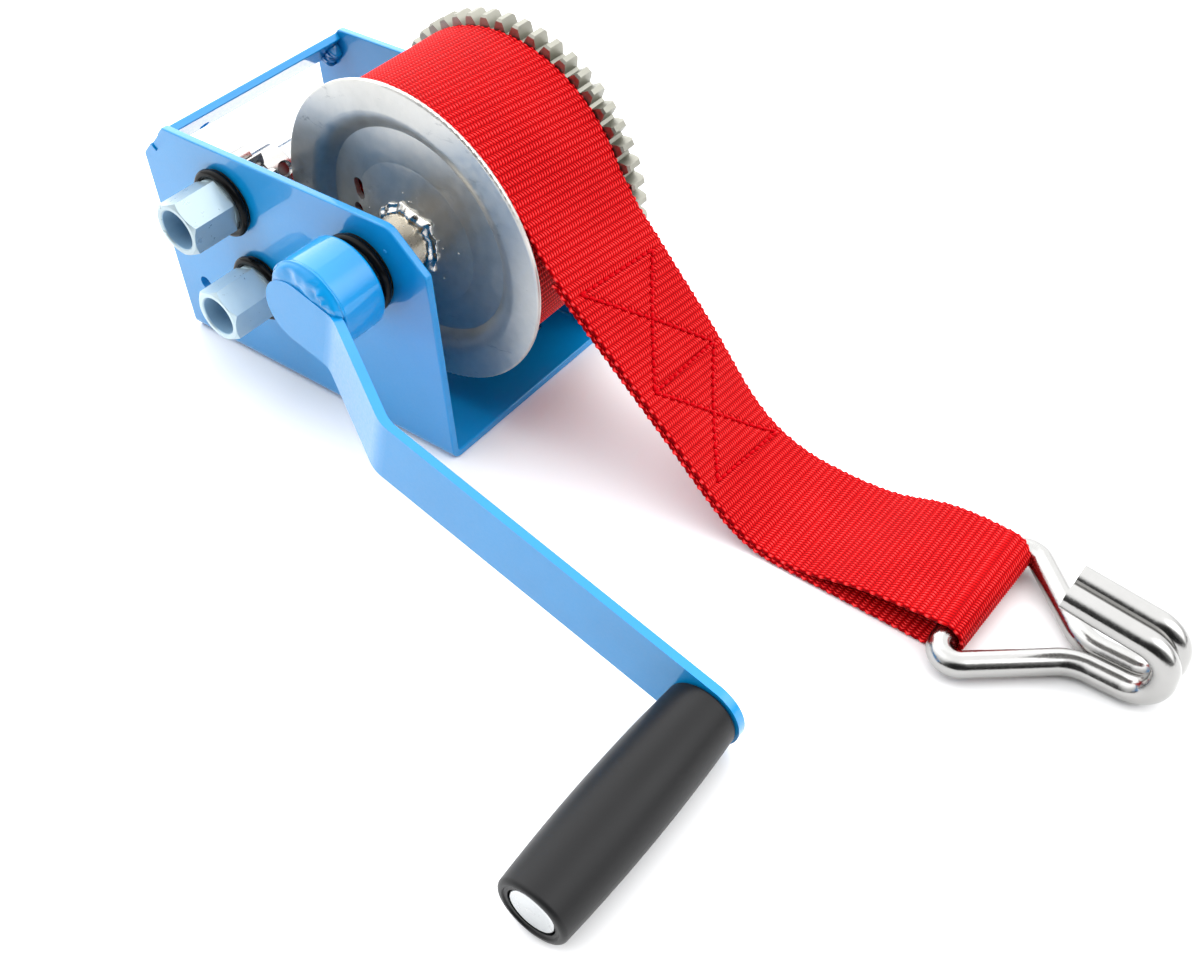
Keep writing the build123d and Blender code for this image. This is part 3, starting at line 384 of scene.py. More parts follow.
outer = polar_rows(r_out, ys, ang)
n_in = 3
inner = polar_rows(np.full((rr, n_in), 49.45), np.broadcast_to(np.linspace(y_f, y_n, n_in), (rr, n_in)), ang)
mid_f = polar_rows(np.full((rr, 1), 50.2), (y_f + 0.28 + wave)[:, None], ang)
mid_n = polar_rows(np.full((rr, 1), 50.2), (y_n - 0.28 - wave)[:, None], ang)
ring_rows = np.concatenate([outer, mid_f, inner, mid_n], axis=1)
# the angle runs the other way round the axis, so the faces are turned over
rc = ring_rows.shape[1]
ring_f = ring_faces(rr, rc, True)[:, ::-1]

# inner turns: one long band wound from the anchor bar out to the last turn
turns, per_turn = 24.0, 64
anchor_r, anchor_a = 14.4, math.radians(235.0)


def core_radius(a):
    """Radius of the band's inner face on its first turn, round the tube and the anchor bar."""
    d = np.abs((a - anchor_a + math.pi) % (2 * math.pi) - math.pi)
    bar_r = np.where(d < 1.2, (anchor_r + 4.1) * np.cos(np.minimum(d, 1.2)) ** 0.8, 0)
    return np.maximum(10.9, bar_r)


k = np.arange(int(turns * per_turn) + 1)
phi = k / per_turn * 2 * math.pi + anchor_a
base = core_radius(phi)
frac = k / per_turn / turns
pitch = (49.3 - base) / turns
r_mid = base + (49.3 - base) * frac * (1 - 1 / turns) + pitch * 0.5
half = pitch * 0.45
wob = 0.18 * np.sin(k * 0.11) + 0.12 * np.sin(k * 0.031 + 1.0)
spiral = []
for r_sign, y_base, bulge in ((1, y_n, 0), (1, (y_n + y_f) / 2, 0), (1, y_f, 0), (0, y_f, 0.3), (-1, y_f, 0), (-1, y_n, 0), (0, y_n, -0.3)):
    r = r_mid + half * r_sign
    y = np.full(len(k), y_base) + (wob if y_base != (y_n + y_f) / 2 else 0) + bulge
    if y_base == y_n:              # inner turns keep clear of the dished flange
        y = y + 2.35 * np.clip((47.4 - r_mid) / 0.8, 0, 1)
    spiral.append(np.stack([DX + r * np.cos(phi), y, DZ + r * np.sin(phi)], axis=1))
spiral = np.stack(spiral, axis=1)
sc = spiral.shape[1]
sp_f = ring_faces(len(k), sc, False)[:, ::-1]
o = rr * rc
sp_faces = (sp_f + o).tolist()
sp_faces.append([o + q for q in range(sc)])
sp_faces.append([o + (len(k) - 1) * sc + q for q in range(sc)][::-1])
wound = add_mesh("wound_webbing_roll", np.concatenate([ring_rows.reshape(-1, 3), spiral.reshape(-1, 3)]), ring_f.tolist() + sp_faces)
uu = np.concatenate([np.arange(COLS + 1) / 2, [COLS / 2 + 0.3], np.linspace(COLS / 2, 0, n_in), [-0.3]])
ring_uv = weave_uv(rr, rc, True, uu)[:, ::-1]
su = np.array([0, COLS / 4, COLS / 2, COLS / 2 + 0.3, COLS / 2, 0, -0.3])
sp_uv = weave_uv(len(k), sc, False, su, rows_per_rib=1)[:, ::-1]
set_uv(wound, "weave", np.concatenate([ring_uv, sp_uv]))

# ------------------------------------------------------------------ weld at the flange
def flange_face(r):
    """Y of the flange's inner cone at radius r."""
    return -45.5 + 21.9 + 0.2177 * (r - 10.42)


wn, wp = 300, 21
wa = np.arange(wn) / wn * 2 * math.pi
spread = np.zeros(wn)              # how far the bead runs out on the flange
climb = np.zeros(wn)               # how far it climbs the tube
swell = np.zeros(wn)
for at_deg, wide, out_, up_, fat in [(41, 13, 2.3, 0.7, 0.9), (16, 8, 0.9, -0.5, 0.3), (66, 12, 0.5, 0.9, 0.5), (92, 10, 1.0, 0.2, 0.4), (118, 14, 0.3, 0.8, 0.2),
                                     (146, 9, 0.9, 0.2, 0.5), (178, 12, 0.4, 0.6, 0.3), (206, 10, 1.1, 0.0, 0.5), (236, 14, 0.3, 0.7, 0.3), (262, 9, 0.9, 0.3, 0.5),
                                     (290, 11, 0.5, 0.5, 0.2), (318, 10, 1.2, 0.1, 0.6), (345, 9, 0.5, 0.6, 0.4)]:
    d = (np.degrees(wa) - at_deg + 180) % 360 - 180
    g = np.exp(-(d / wide) ** 2 * 1.6)
    spread += out_ * g
    climb += up_ * g
    swell = np.maximum(swell, fat * g)
ripple = np.sin(wa * 19 + 1.7 * np.sin(wa * 5)) * (0.5 + 0.5 * np.sin(wa * 3 + 1.0)) + 0.5 * np.sin(wa * 31 + 2.0 * np.sin(wa * 4 + 0.7))
# where two passes lie side by side, a valley runs between them
two_pass = np.zeros(wn)
for at_deg, wide in ((2, 34), (118, 24), (200, 30), (275, 26)):
    two_pass = np.maximum(two_pass, np.exp(-(((np.degrees(wa) - at_deg + 180) % 360 - 180) / wide) ** 4))
rows_w = []
for q in range(wp):
    t = q / (wp - 1)
    th = t * math.pi / 2
    split = math.sin(2 * math.pi * t) ** 2 * (0.45 if t < 0.5 else 1.1)
    bulge = (1 - two_pass) * math.sin(math.pi * t) + two_pass * split
    out_l = 2.8 + spread + 0.1 * ripple * t
    up_l = 2.1 + climb + 0.1 * ripple * (1 - t)
    r = 10.34 + out_l * math.sin(th) ** 1.7 + bulge * (0.35 + 0.8 * swell + 0.07 * ripple)
    y = flange_face(r) + 0.12 - up_l * math.cos(th) ** 1.7 - bulge * (0.34 + 0.7 * swell + 0.06 * ripple)
    rows_w.append(np.stack([DX + r * np.cos(wa), y, DZ + r * np.sin(wa)], axis=1))
r = np.full(wn, 10.34)
rows_w.append(np.stack([DX + r * np.cos(wa), np.full(wn, flange_face(10.34) + 0.12), DZ + r * np.sin(wa)], axis=1))
weld_rows = np.stack(rows_w, axis=1)
wv = weld_rows.reshape(-1, 3).tolist()
wf = ring_faces(wn, wp + 1, True).tolist()


def droplet(centre, normal, r, flat):
    """A small frozen drop of metal sitting on a face."""
    c, n = np.array(centre, float), np.array(normal, float)
    n /= np.linalg.norm(n)
    a = np.cross(n, (0.3, 0.2, 0.9))
    a /= np.linalg.norm(a)
    b = np.cross(n, a)
    v = []
    m = 10
    for t in (-0.35, 0.0, 0.45, 0.8):
        rad = r * math.cos(t * math.pi / 2)
        for q in range(m):
            x = 2 * math.pi * q / m
            v.append(c + (a * math.cos(x) + b * math.sin(x)) * rad + n * r * flat * math.sin(t * math.pi / 2))
    v.append(c + n * r * flat)
    v.append(c - n * r * flat * 0.55)
    f = []
    for row in range(3):
        for q in range(m):
            f.append([row * m + q, row * m + (q + 1) % m, (row + 1) * m + (q + 1) % m, (row + 1) * m + q])
    for q in range(m):
        f.append([3 * m + q, 3 * m + (q + 1) % m, 4 * m])
        f.append([(q + 1) % m, q, 4 * m + 1])
    return v, f


for q in range(16):
    a = rng.uniform(0, 2 * math.pi)
    rad = 14.6 + rng.exponential(2.4)
    if rad > 25.0:
        continue
    v, f = droplet((DX + rad * math.cos(a), flange_face(rad), DZ + rad * math.sin(a)), (0, -1, 0), rng.uniform(0.14, 0.4), 0.75)
    o = len(wv)
    wv.extend([list(x) for x in v])
    wf.extend([[o + x for x in g] for g in f])
for q in range(12):
    a = rng.uniform(0, 2 * math.pi)
    y = flange_face(10.4) - 2.9 - rng.exponential(1.6)
    if y < flange_face(10.4) - 8:
        continue
    v, f = droplet((DX + 10.4 * math.cos(a), y, DZ + 10.4 * math.sin(a)), (math.cos(a), 0, math.sin(a)), rng.uniform(0.15, 0.34), 0.7)
    o = len(wv)
    wv.extend([list(x) for x in v])
    wf.extend([[o + x for x in g] for g in f])
weld = add_mesh("flange_weld_bead", wv, wf)

# ------------------------------------------------------------------ painted weld on the crank socket
arm = math.radians(-17.55)
ex, ez = np.array([math.cos(arm), 0, math.sin(arm)]), np.array([-math.sin(arm), 0, math.cos(arm)])
boss = np.array([DX, 0, DZ])
y_face = -45.5 - 24.8
cn, cp = 151, 23
run = np.concatenate([np.linspace(-16.3, -13.0, 31)[:-1], np.linspace(-13.0, 14.7, cn - 30)])
t = np.linspace(0, 1, cp)[None, :]
v_low = np.where(run < -4.3, -4.8 + np.sqrt(np.clip(12.5 ** 2 - (run + 4.3) ** 2, 0, None)), 7.7) - 0.15      # along the arm's edge
v_top = np.maximum(np.sqrt(16.72 ** 2 - run ** 2), v_low + 0.25)[:, None]
vv = v_low[:, None] + (v_top - v_low[:, None]) * t
ss = np.broadcast_to(run[:, None], vv.shape)
ends = np.clip(np.minimum((ss + 16.8) / 2.8, (15.0 - ss) / 2.4), 0.12, 1) ** 0.7
high = (0.3 + 2.25 * (1 - t ** 5)) * ends
for s0, v0, wide, amount in [(-7.3, 11.0, 2.3, -0.75), (-11.5, 6.6, 2.0, 0.25), (-3.6, 11.2, 2.0, 0.35), (-3.0, 8.6, 1.6, -0.2), (0.4, 13.2, 1.9, 0.45), (0.2, 9.6, 1.6, 0.2),
                             (3.6, 10.9, 1.6, -0.7), (5.8, 12.5, 1.25, 1.1), (8.0, 10.2, 1.2, 1.1), (6.4, 9.2, 1.0, -0.35), (10.6, 9.7, 1.5, 0.3), (12.4, 8.6, 1.3, -0.2), (3.0, 8.4, 1.4, 0.2)]:
    high = high + amount * np.exp(-((ss - s0) ** 2 + (vv - v0) ** 2) / wide ** 2) * ends
tail_off = np.sqrt(np.clip(np.minimum((ss + 16.9) / 1.4, (15.1 - ss) / 1.2), 0.05, 1))
high = np.maximum(high, 0.06) * tail_off
front = boss + ex * ss[..., None] + ez * vv[..., None] + np.array([0, 1, 0]) * (y_face - 0.02 - high)[..., None]
# the bead dies out on the socket's rounded rim
rim_a = np.arctan2(v_top[:, 0], run)
rim = np.cos(rim_a)[:, None] * ex + np.sin(rim_a)[:, None] * ez
rim_h, lap = high[:, -1], 0.75 + 0.2 * np.sin(run * 0.55 + 0.6)
wrap = []
for r_out_w, h_part, y_part in ((16.9, 0.7, 0.0), (17.02, 0.3, 0.0), (17.06, 0.0, 0.15), (17.05, 0.0, 0.5), (17.0, 0.0, 1.0), (16.5, 0.0, 1.0)):
    y_w = y_face - 0.02 - rim_h * h_part + lap * y_part * tail_off[:, 0]
    wrap.append(boss + rim * r_out_w + np.array([0, 1, 0]) * y_w[:, None])
wrap = np.stack(wrap, axis=1)
base_b = boss + ex * run[:, None] + ez * v_low[:, None] + np.array([0, 1, 0]) * (y_face + 0.06)
cr = np.concatenate([front, wrap, base_b[:, None]], axis=1)
cc = cr.shape[1]
cf = ring_faces(cn, cc, False).tolist()
cf.append(list(range(cc))[::-1])
cf.append([(cn - 1) * cc + q for q in range(cc)])
crank_bead = add_mesh("crank_weld_bead", cr.reshape(-1, 3), cf)

# ------------------------------------------------------------------ painted welds under the tie bar
s2 = math.sqrt(0.5)
corner = np.array([-70.0, 0, 94.5 - 14.6])         # lower end of the rear chamfer
along, deep = np.array([s2, 0, s2]), np.array([s2, 0, -s2])
tv2, tf2 = [], []
for wall, sgn, seed in ((-45.5 + 3.02, 1, 0.0), (-45.5 + 87.98, -1, 2.1)):
    tn, tp = 60, 13
    run_t = np.linspace(4.4, 15.4, tn)
    u = (run_t - 4.4) / 11.0
    cap_t = np.clip(np.minimum(u, 1 - u) / 0.12, 0.02, 1) ** 0.5
    lum = 0.35 * np.sin(run_t * 1.9 + seed) + 0.25 * np.sin(run_t * 3.3 + 2 * seed + 1.0)
    prof = []
    for q in range(tp):
        th = q / (tp - 1) * math.pi / 2
        bulge = math.sin(2 * th)
        leg_d = (4.3 + 0.9 * lum) * cap_t
        leg_y = (4.1 + 0.8 * np.roll(lum, 7)) * cap_t
        dd = 3.3 + leg_d * math.cos(th) ** 0.9 + 0.35 * bulge * cap_t * (1 + lum)
        yl = leg_y * math.sin(th) ** 0.9 + 0.35 * bulge * cap_t * (1 + lum)
        prof.append(corner + along * run_t[:, None] + deep * dd[:, None] + np.array([0, 1, 0]) * (wall + sgn * yl)[:, None])
    prof.append(corner + along * run_t[:, None] + deep * 3.3 + np.array([0, 1, 0]) * wall)
    tr = np.stack(prof, axis=1)
    o = len(tv2)
    quads = ring_faces(tn, tp + 1, False).tolist() + [list(range(tp + 1))[::-1], [(tn - 1) * (tp + 1) + q for q in range(tp + 1)]]
    tv2.extend(tr.reshape(-1, 3).tolist())
    tf2.extend([[o + x for x in (g if sgn < 0 else g[::-1])] for g in quads])
tie_beads = add_mesh("tie_bar_weld_beads", tv2, tf2)

# a drip of paint beside the drum shaft
drip_v, drip_f = droplet((52.6, -45.5, 84.3), (0, -1, 0), 0.75, 0.45)
paint_drip = add_mesh("paint_drip", drip_v, drip_f)


# ------------------------------------------------------------------ materials
class Nodes:
    """Short hand for a Principled material's node tree."""

    def __init__(self, name):
        self.mat = bpy.data.materials.new(name)
        self.mat.use_nodes = True
        self.t = self.mat.node_tree
        self.t.nodes.clear()
        self.out = self.t.nodes.new("ShaderNodeOutputMaterial")
        self.b = self.t.nodes.new("ShaderNodeBsdfPrincipled")
        self.t.links.new(self.b.outputs[0], self.out.inputs[0])
        self.coord = self.t.nodes.new("ShaderNodeTexCoord").outputs["Object"]

    def set(self, **kw):
        names = dict(metallic="Metallic", rough="Roughness", ior="IOR", coat="Coat Weight", coat_rough="Coat Roughness", coat_ior="Coat IOR",
                     sheen="Sheen Weight", sheen_rough="Sheen Roughness", sheen_tint="Sheen Tint", spec="Specular IOR Level", colour="Base Color",
                     aniso="Anisotropic", tint="Specular Tint", sub="Subsurface Weight")
        for k, v in kw.items():
            s = self.b.inputs[names[k]]
            if isinstance(v, bpy.types.NodeSocket):
                self.t.links.new(v, s)
            else:
                s.default_value = (*v, 1.0) if isinstance(v, tuple) and len(v) == 3 else v
        return self

    def axis_distance(self, x, z):
        """Distance in metres from the line along Y through (x, z), in millimetres."""
        sep = self.t.nodes.new("ShaderNodeSeparateXYZ")
        self.t.links.new(self.coord, sep.inputs[0])
        dx, dz = self.math("SUBTRACT", sep.outputs[0], x * MM), self.math("SUBTRACT", sep.outputs[2], z * MM)
        return self.math("SQRT", self.math("ADD", self.math("MULTIPLY", dx, dx), self.math("MULTIPLY", dz, dz)))

    def stretch(self, sx, sy, sz, rot=(0, 0, 0)):
        n = self.t.nodes.new("ShaderNodeMapping")
        n.inputs["Scale"].default_value = (sx, sy, sz)
        n.inputs["Rotation"].default_value = rot
        self.t.links.new(self.coord, n.inputs[0])
        return n.outputs[0]

    def noise(self, scale, detail=3.0, rough=0.55, coord=None, dist=0.0):
        n = self.t.nodes.new("ShaderNodeTexNoise")
        n.inputs["Scale"].default_value = scale
        n.inputs["Detail"].default_value = detail
        n.inputs["Roughness"].default_value = rough
        n.inputs["Distortion"].default_value = dist
        self.t.links.new(coord or self.coord, n.inputs["Vector"])
        return n.outputs["Fac"]

    def cells(self, scale, coord=None, feature="F1", random=1.0):
        n = self.t.nodes.new("ShaderNodeTexVoronoi")
        n.feature = feature
        n.inputs["Scale"].default_value = scale
        n.inputs["Randomness"].default_value = random
        self.t.links.new(coord or self.coord, n.inputs["Vector"])
        return n.outputs["Distance"]

    def span(self, value, lo, hi, a, b, smooth=False):
        n = self.t.nodes.new("ShaderNodeMapRange")
        if smooth:
            n.interpolation_type = "SMOOTHSTEP"
        for k, v in zip(("From Min", "From Max", "To Min", "To Max"), (lo, hi, a, b)):
            n.inputs[k].default_value = v
        self.t.links.new(value, n.inputs["Value"])
        return n.outputs[0]

    def ramp(self, value, stops):
        n = self.t.nodes.new("ShaderNodeValToRGB")
        e = n.color_ramp.elements
        while len(e) < len(stops):
            e.new(0.5)
        for x, (p, c) in zip(e, stops):
            x.position = p
            x.color = (*c, 1.0)
        self.t.links.new(value, n.inputs[0])
        return n.outputs[0]

    def math(self, op, a, b=None, c=None):
        n = self.t.nodes.new("ShaderNodeMath")
        n.operation = op
        for k, v in enumerate((a, b, c)):
            if v is None:
                continue
            if isinstance(v, bpy.types.NodeSocket):
                self.t.links.new(v, n.inputs[k])
            else:
                n.inputs[k].default_value = v
        return n.outputs[0]

    def mix(self, fac, a, b, mode="MIX"):
        n = self.t.nodes.new("ShaderNodeMix")
        n.data_type = "RGBA"
        n.blend_type = mode
        for k, v in ((0, fac), (6, a), (7, b)):
            if isinstance(v, bpy.types.NodeSocket):
                self.t.links.new(v, n.inputs[k])
            else:
                n.inputs[k].default_value = (*v, 1.0) if isinstance(v, tuple) else v
        return n.outputs[2]

    def bump(self, height, strength, distance, under=None):
        n = self.t.nodes.new("ShaderNodeBump")
        n.inputs["Strength"].default_value = strength
        n.inputs["Distance"].default_value = distance
        self.t.links.new(height, n.inputs["Height"])
        if under is not None:
            self.t.links.new(under, n.inputs["Normal"])
        return n.outputs[0]

    def normal(self, socket):
        self.t.links.new(socket, self.b.inputs["Normal"])
        return self

    def coat_normal(self, socket):
        self.t.links.new(socket, self.b.inputs["Coat Normal"])
        return self


def blue_paint(name, peel=0.05, streak=0.0):
    m = Nodes(name)
    tone = m.noise(28.0, 3.0, 0.6)
    fine = m.noise(900.0, 2.0, 0.5)
    col = m.ramp(tone, [(0.3, (0.0, 0.228, 0.55)), (0.7, (0.0, 0.252, 0.6))])
    m.set(colour=col, rough=m.span(fine, 0.3, 0.7, 0.34, 0.44), spec=0.2, coat=1.0, coat_rough=0.02, coat_ior=1.4)
    orange = m.noise(330.0, 2.0, 0.5)
    n = m.bump(orange, peel, 0.0004)
    if streak:
        n = m.bump(m.noise(120.0, 3.0, 0.6, coord=m.stretch(1.0, 0.25, 1.6), dist=0.6), streak, 0.0012, n)
    m.normal(n).coat_normal(n)
    return m.mat


def zinc(name, light, rough, mottle=0.06, scratch=0.0, bump=0.03, scale=120.0, warm=(1.0, 1.0, 1.0), bore=None, scuff=None, metal=1.0):
    m = Nodes(name)
    big = m.noise(scale * 0.25, 3.0, 0.6)
    mid = m.noise(scale * 2.2, 4.0, 0.65)
    lo = tuple(light * (1 - mottle) * w for w in warm)
    hi = tuple(min(1.0, light * (1 + mottle)) * w for w in warm)
    mixed = m.math("ADD", m.math("MULTIPLY", big, 0.6), m.math("MULTIPLY", mid, 0.4))
    col = m.ramp(mixed, [(0.36, lo), (0.64, hi)])
    r = m.span(mid, 0.3, 0.7, rough * 0.82, rough * 1.2)
    n = m.bump(mid, bump, 0.0004)
    if scratch:
        s = m.noise(60.0, 5.0, 0.75, coord=m.stretch(14.0, 14.0, 1.1, rot=(0.5, 0.3, 0.2)))
        n = m.bump(m.span(s, 0.52, 0.6, 0.0, 1.0), scratch, 0.00015, n)
    if bore:                       # painted reflection: inside a bore the metal gives way to a diffuse blue that stands in for the blue plate reflected in the bore's dark
        far_off = m.axis_distance(*bore)
        painted_bore_reflection_mask = m.span(far_off, 0.0072, 0.0078, 1.0, 0.0, True)
        col = m.mix(painted_bore_reflection_mask, col, (0.22, 0.42, 0.62))
    if scuff:                      # dark rubbed marks towards the rim
        far_off = m.axis_distance(*scuff)
        marks = m.noise(95.0, 4.0, 0.7, coord=m.stretch(1.0, 1.0, 2.6, rot=(0.0, 0.7, 0.0)), dist=0.8)
        near_rim = m.span(far_off, 0.040, 0.055, 0.25, 1.0, True)
        col = m.mix(m.math("MULTIPLY", m.span(marks, 0.6, 0.72, 0.0, 0.55, True), near_rim), col, (0.16, 0.17, 0.18))
    m.set(colour=col, metallic=m.span(painted_bore_reflection_mask, 0.0, 1.0, metal, 0.0) if bore else metal, rough=r)
    m.normal(n)
    return m.mat


def webbing(name, crest, valley_shade, crest_sheen=1.0):
    m = Nodes(name)
    uv = m.t.nodes.new("ShaderNodeUVMap")
    uv.uv_map = "weave"
    sep = m.t.nodes.new("ShaderNodeSeparateXYZ")
    m.t.links.new(uv.outputs[0], sep.inputs[0])
    u, v = sep.outputs[0], sep.outputs[1]
    rib = m.math("COSINE", m.math("MULTIPLY", v, 2 * math.pi))
    rib01 = m.math("MULTIPLY_ADD", rib, 0.5, 0.5)
    # every other rib's floats stand half a float across
    step = m.math("MULTIPLY", m.math("FLOOR", m.math("ADD", v, 0.5)), 0.5)
    flo = m.math("COSINE", m.math("MULTIPLY", m.math("ADD", u, step), 2 * math.pi))
    flo01 = m.math("MULTIPLY_ADD", flo, 0.5, 0.5)
    fibre = m.noise(1.0, 2.0, 0.6, coord=m.stretch(5200.0, 5200.0, 5200.0))
    tone = m.noise(45.0, 2.0, 0.5)
    body = m.math("MULTIPLY", m.math("MULTIPLY_ADD", m.math("POWER", rib01, 0.6), 0.7, 0.3), m.math("MULTIPLY_ADD", flo01, 0.92, 0.08))
    body = m.math("ADD", body, m.math("MULTIPLY_ADD", tone, 0.2, -0.1))
    def between(k, lift=0.0):
        return tuple(b + (a - b) * k + (lift * crest_sheen if q else 0.0) for q, (a, b) in enumerate(zip(crest, valley_shade)))

    # painted shade and sheen: the colour darkens from the rib crests into the valleys and the gaps between floats,
    # where the weave's grooves fall into shade, and the top stops lift green and blue as a painted sheen on the float
    # crests
    col = m.ramp(body, [(0.02, valley_shade), (0.3, between(0.22)), (0.58, between(0.6, 0.003)), (0.84, between(0.95, 0.03)), (1.0, between(1.0, 0.075))])
    m.set(colour=col, rough=m.span(fibre, 0.3, 0.7, 0.4, 0.55), spec=0.05, tint=(1.0, 0.35, 0.28, 1.0))
    n = m.bump(body, 0.45, 0.00045)
    n = m.bump(fibre, 0.12, 0.0001, n)
    m.normal(n)
    return m.mat


def plastic(name, colour, rough, grain, spec=0.5):
    m = Nodes(name)
    a = m.noise(1400.0, 2.0, 0.5)
    b = m.noise(35.0, 3.0, 0.6)
    m.set(colour=m.ramp(b, [(0.35, tuple(0.85 * c for c in colour)), (0.65, tuple(1.15 * c for c in colour))]),
          rough=m.span(b, 0.3, 0.7, rough * 0.9, rough * 1.12), spec=spec)
    m.normal(m.bump(a, grain, 0.00012))
    return m.mat


paint = blue_paint("blue_paint")
paint_weld = blue_paint("blue_paint_on_weld", 0.06, 0.25)
bright = zinc("bright_zinc", 0.5, 0.3, 0.05, 0.05, 0.02, warm=(0.93, 0.98, 1.0))
# the two hex sleeves share one zinc finish; the lower one gets a lighter, less metallic copy as painted light, so its
# top reads as brightly lit as the upper one's
hex_up = zinc("hex_zinc_upper", 0.48, 0.31, 0.03, 0.0, 0.02, warm=(0.73, 0.92, 1.0), metal=0.58, bore=(-27.562, 74.565))
hex_low_painted_light = zinc("hex_zinc_lower_painted_light", 0.64, 0.33, 0.03, 0.0, 0.02, warm=(0.73, 0.92, 1.0), metal=0.45, bore=(-17.755, 41.459))
pin_zinc = zinc("pin_zinc", 0.56, 0.3, 0.05, 0.05, 0.03, warm=(0.96, 0.99, 1.0))
hook_zinc = zinc("hook_zinc", 0.37, 0.17, 0.04, 0.08, 0.03, warm=(1.0, 0.99, 0.965))
flange_zinc = zinc("flange_zinc", 0.56, 0.37, 0.09, 0.05, 0.03, warm=(1.0, 0.985, 0.935), scuff=(DX, DZ), metal=0.82)
dull = zinc("dull_zinc", 0.5, 0.4, 0.09, 0.05, 0.03, warm=(0.98, 1.0, 1.0))
tube_zinc = zinc("tube_zinc", 0.74, 0.26, 0.08, 0.04, 0.03, warm=(1.0, 0.91, 0.76))
weld_metal = zinc("weld_metal", 0.62, 0.2, 0.16, 0.0, 0.3, 260.0, warm=(1.0, 0.97, 0.9))
gear_zinc = zinc("gear_zinc", 0.29, 0.46, 0.08, 0.03, 0.05, warm=(1.0, 0.985, 0.85))
pinion_zinc = zinc("pinion_zinc", 0.42, 0.26, 0.06, 0.03, 0.04, warm=(1.0, 0.985, 0.95))
dark = zinc("dark_steel", 0.12, 0.35, 0.12, 0.0, 0.03)
bronze = zinc("bush_bronze", 0.45, 0.38, 0.1, 0.03, 0.04, warm=(1.0, 0.72, 0.38))
rubber = plastic("black_rubber", (0.004, 0.004, 0.004), 0.17, 0.02, 0.09)
grip_mat = plastic("black_plastic", (0.0055, 0.0055, 0.006), 0.42, 0.1, 0.23)
red = webbing("red_webbing", (0.93, 0.004, 0.005), (0.2, 0.0, 0.002))
thread = webbing("red_thread", (0.56, 0.001, 0.006), (0.46, 0.0, 0.004), 0.0)


def give(ob, mat):
    if not ob.material_slots:
        ob.data.materials.append(mat)
    for s in ob.material_slots:
        s.material = mat


LOOK = {
    "frame_channel": paint, "tie_bar": paint, "crank_socket": paint, "crank_arm": paint,
    "upper_hex_sleeve": hex_up, "lower_hex_sleeve": hex_low_painted_light, "drum_shaft": bright, "grip_pin": pin_zinc, "strap_hook": hook_zinc,
    "drum_flange": flange_zinc, "drum_core": tube_zinc, "drum_roll_pin": dull, "drum_thrust_washer": dull, "upper_spacer": dull,
    "lower_thrust_washer": dull, "drum_gear": gear_zinc, "lower_gear": gear_zinc, "lower_pinion": gear_zinc, "upper_pinion": pinion_zinc,
    "upper_shaft": bright, "lower_shaft": bright, "pawl": gear_zinc, "pawl_pivot_pin": bright, "strap_anchor_bar": dull,
    "upper_set_screw": dark, "lower_set_screw": dark, "drum_retaining_ring": dark, "upper_retaining_ring": dark,
    "lower_retaining_ring": dark, "pawl_spring_washer": dark, "crank_grip": grip_mat,
    "upper_seal_ring": rubber, "lower_seal_ring": rubber, "drum_seal_ring": rubber,
}
for name, ob in nodes.items():
    if "bush" in name:
        give(ob, bronze)
    elif name in LOOK:
        give(ob, LOOK[name])

give(strap_tail, red)
give(strap_thread, thread)
give(wound, red)
give(weld, weld_metal)
give(crank_bead, paint_weld)
give(tie_beads, paint_weld)
give(paint_drip, paint)
thread_uv = strap_thread.data.uv_layers.new(name="weave")

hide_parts("strap_tail")
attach(strap_tail, "frame")
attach(strap_thread, "frame")
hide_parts("wound_webbing")
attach(wound, "drum_assembly")
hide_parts("flange_weld")
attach(weld, "drum_assembly")
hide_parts("crank_weld")
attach(crank_bead, "crank")
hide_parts("tie_bar_welds")
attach(tie_beads, "frame")
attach(paint_drip, "frame")

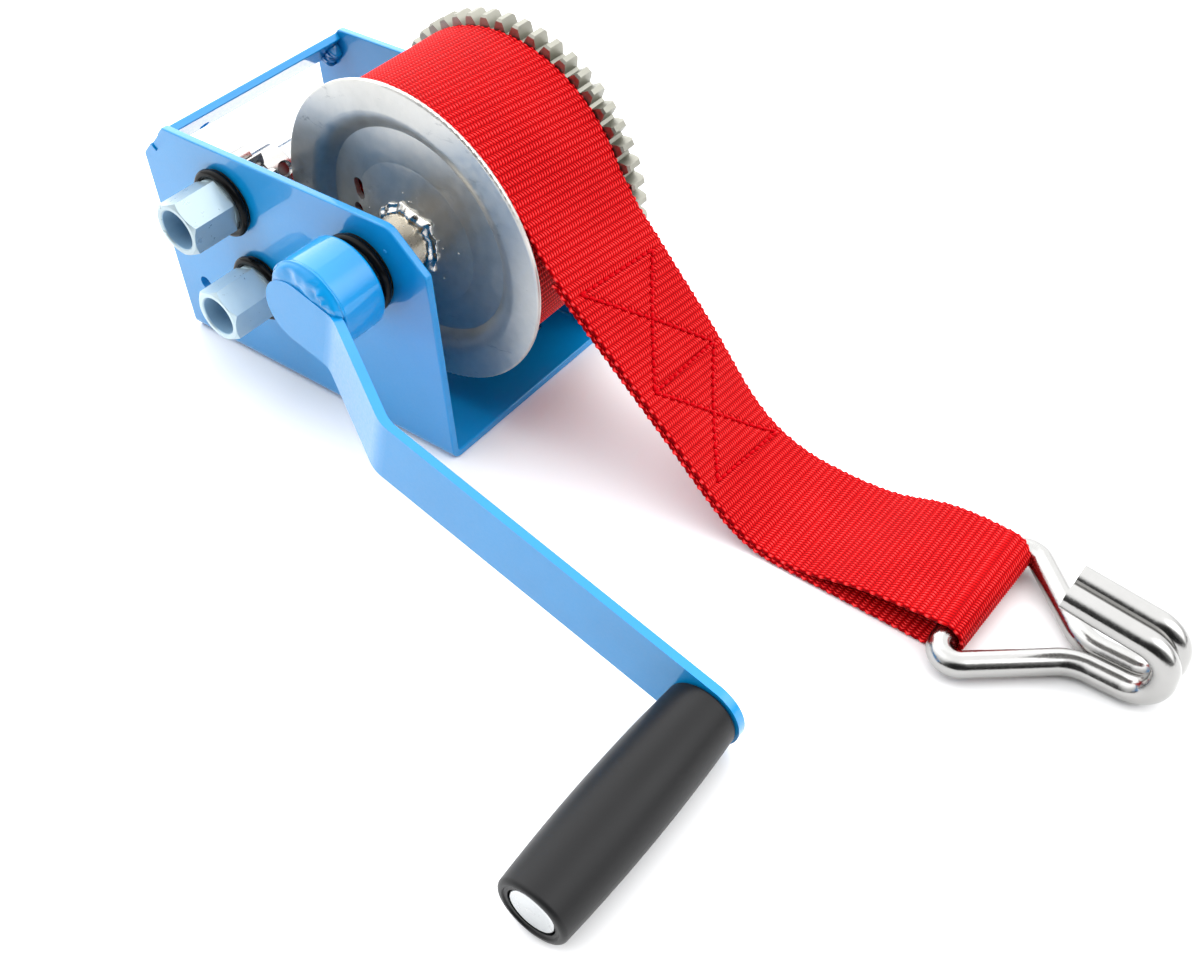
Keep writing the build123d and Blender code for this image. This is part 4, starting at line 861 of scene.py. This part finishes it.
# ------------------------------------------------------------------ floor and light
size_f = 3.0
floor = add_mesh("floor", [(-size_f, -size_f, -0.0001), (size_f, -size_f, -0.0001), (size_f, size_f, -0.0001), (-size_f, size_f, -0.0001)],
                 [(0, 1, 2, 3)], smooth=False, scale=1.0)
fm = Nodes("floor_white")
fm.set(colour=fm.ramp(fm.noise(3.0, 2.0), [(0.3, (0.9, 0.9, 0.9)), (0.7, (0.92, 0.92, 0.92))]), rough=0.6, spec=0.2)
give(floor, fm.mat)

world = bpy.data.worlds.new("studio")
scene.world = world
world.use_nodes = True
wt = world.node_tree
wt.nodes.clear()
w_out = wt.nodes.new("ShaderNodeOutputWorld")
w_bg = wt.nodes.new("ShaderNodeBackground")
w_co = wt.nodes.new("ShaderNodeTexCoord")
wt.links.new(w_bg.outputs[0], w_out.inputs[0])


def toward(direction, lo, hi, a, b):
    """A value that goes from a to b as the sky direction nears the given one."""
    d = wt.nodes.new("ShaderNodeVectorMath")
    d.operation = "DOT_PRODUCT"
    wt.links.new(w_co.outputs["Generated"], d.inputs[0])
    d.inputs[1].default_value = Vector(direction).normalized()
    r = wt.nodes.new("ShaderNodeMapRange")
    r.interpolation_type = "SMOOTHSTEP"
    for key, val in zip(("From Min", "From Max", "To Min", "To Max"), (lo, hi, a, b)):
        r.inputs[key].default_value = val
    wt.links.new(d.outputs["Value"], r.inputs["Value"])
    return r.outputs[0]


def join(op, a, b):
    n = wt.nodes.new("ShaderNodeMath")
    n.operation = op
    wt.links.new(a, n.inputs[0])
    wt.links.new(b, n.inputs[1])
    return n.outputs[0]


# a bright tent above and behind, a soft box over the strap's end and a fill from the left;
# the room on the crank side is dark from the floor up
sky = toward((-0.25, 0.45, 0.86), 0.0, 0.75, 0.26, 2.4)
sky = join("ADD", sky, toward((0.82, 0.10, 0.57), 0.80, 0.93, 0.0, 2.6))
sky = join("ADD", sky, toward((-0.62, 0.52, 0.58), 0.84, 0.87, 0.0, 1.0))
sky = join("ADD", sky, toward((-0.70, -0.55, 0.45), 0.50, 0.95, 0.0, 0.88))
sky = join("MULTIPLY", sky, toward((0.64, -0.77, 0.0), 0.45, 0.65, 1.0, 0.12))
wt.links.new(sky, w_bg.inputs[1])
w_bg.inputs[0].default_value = (0.985, 0.99, 1.0, 1)
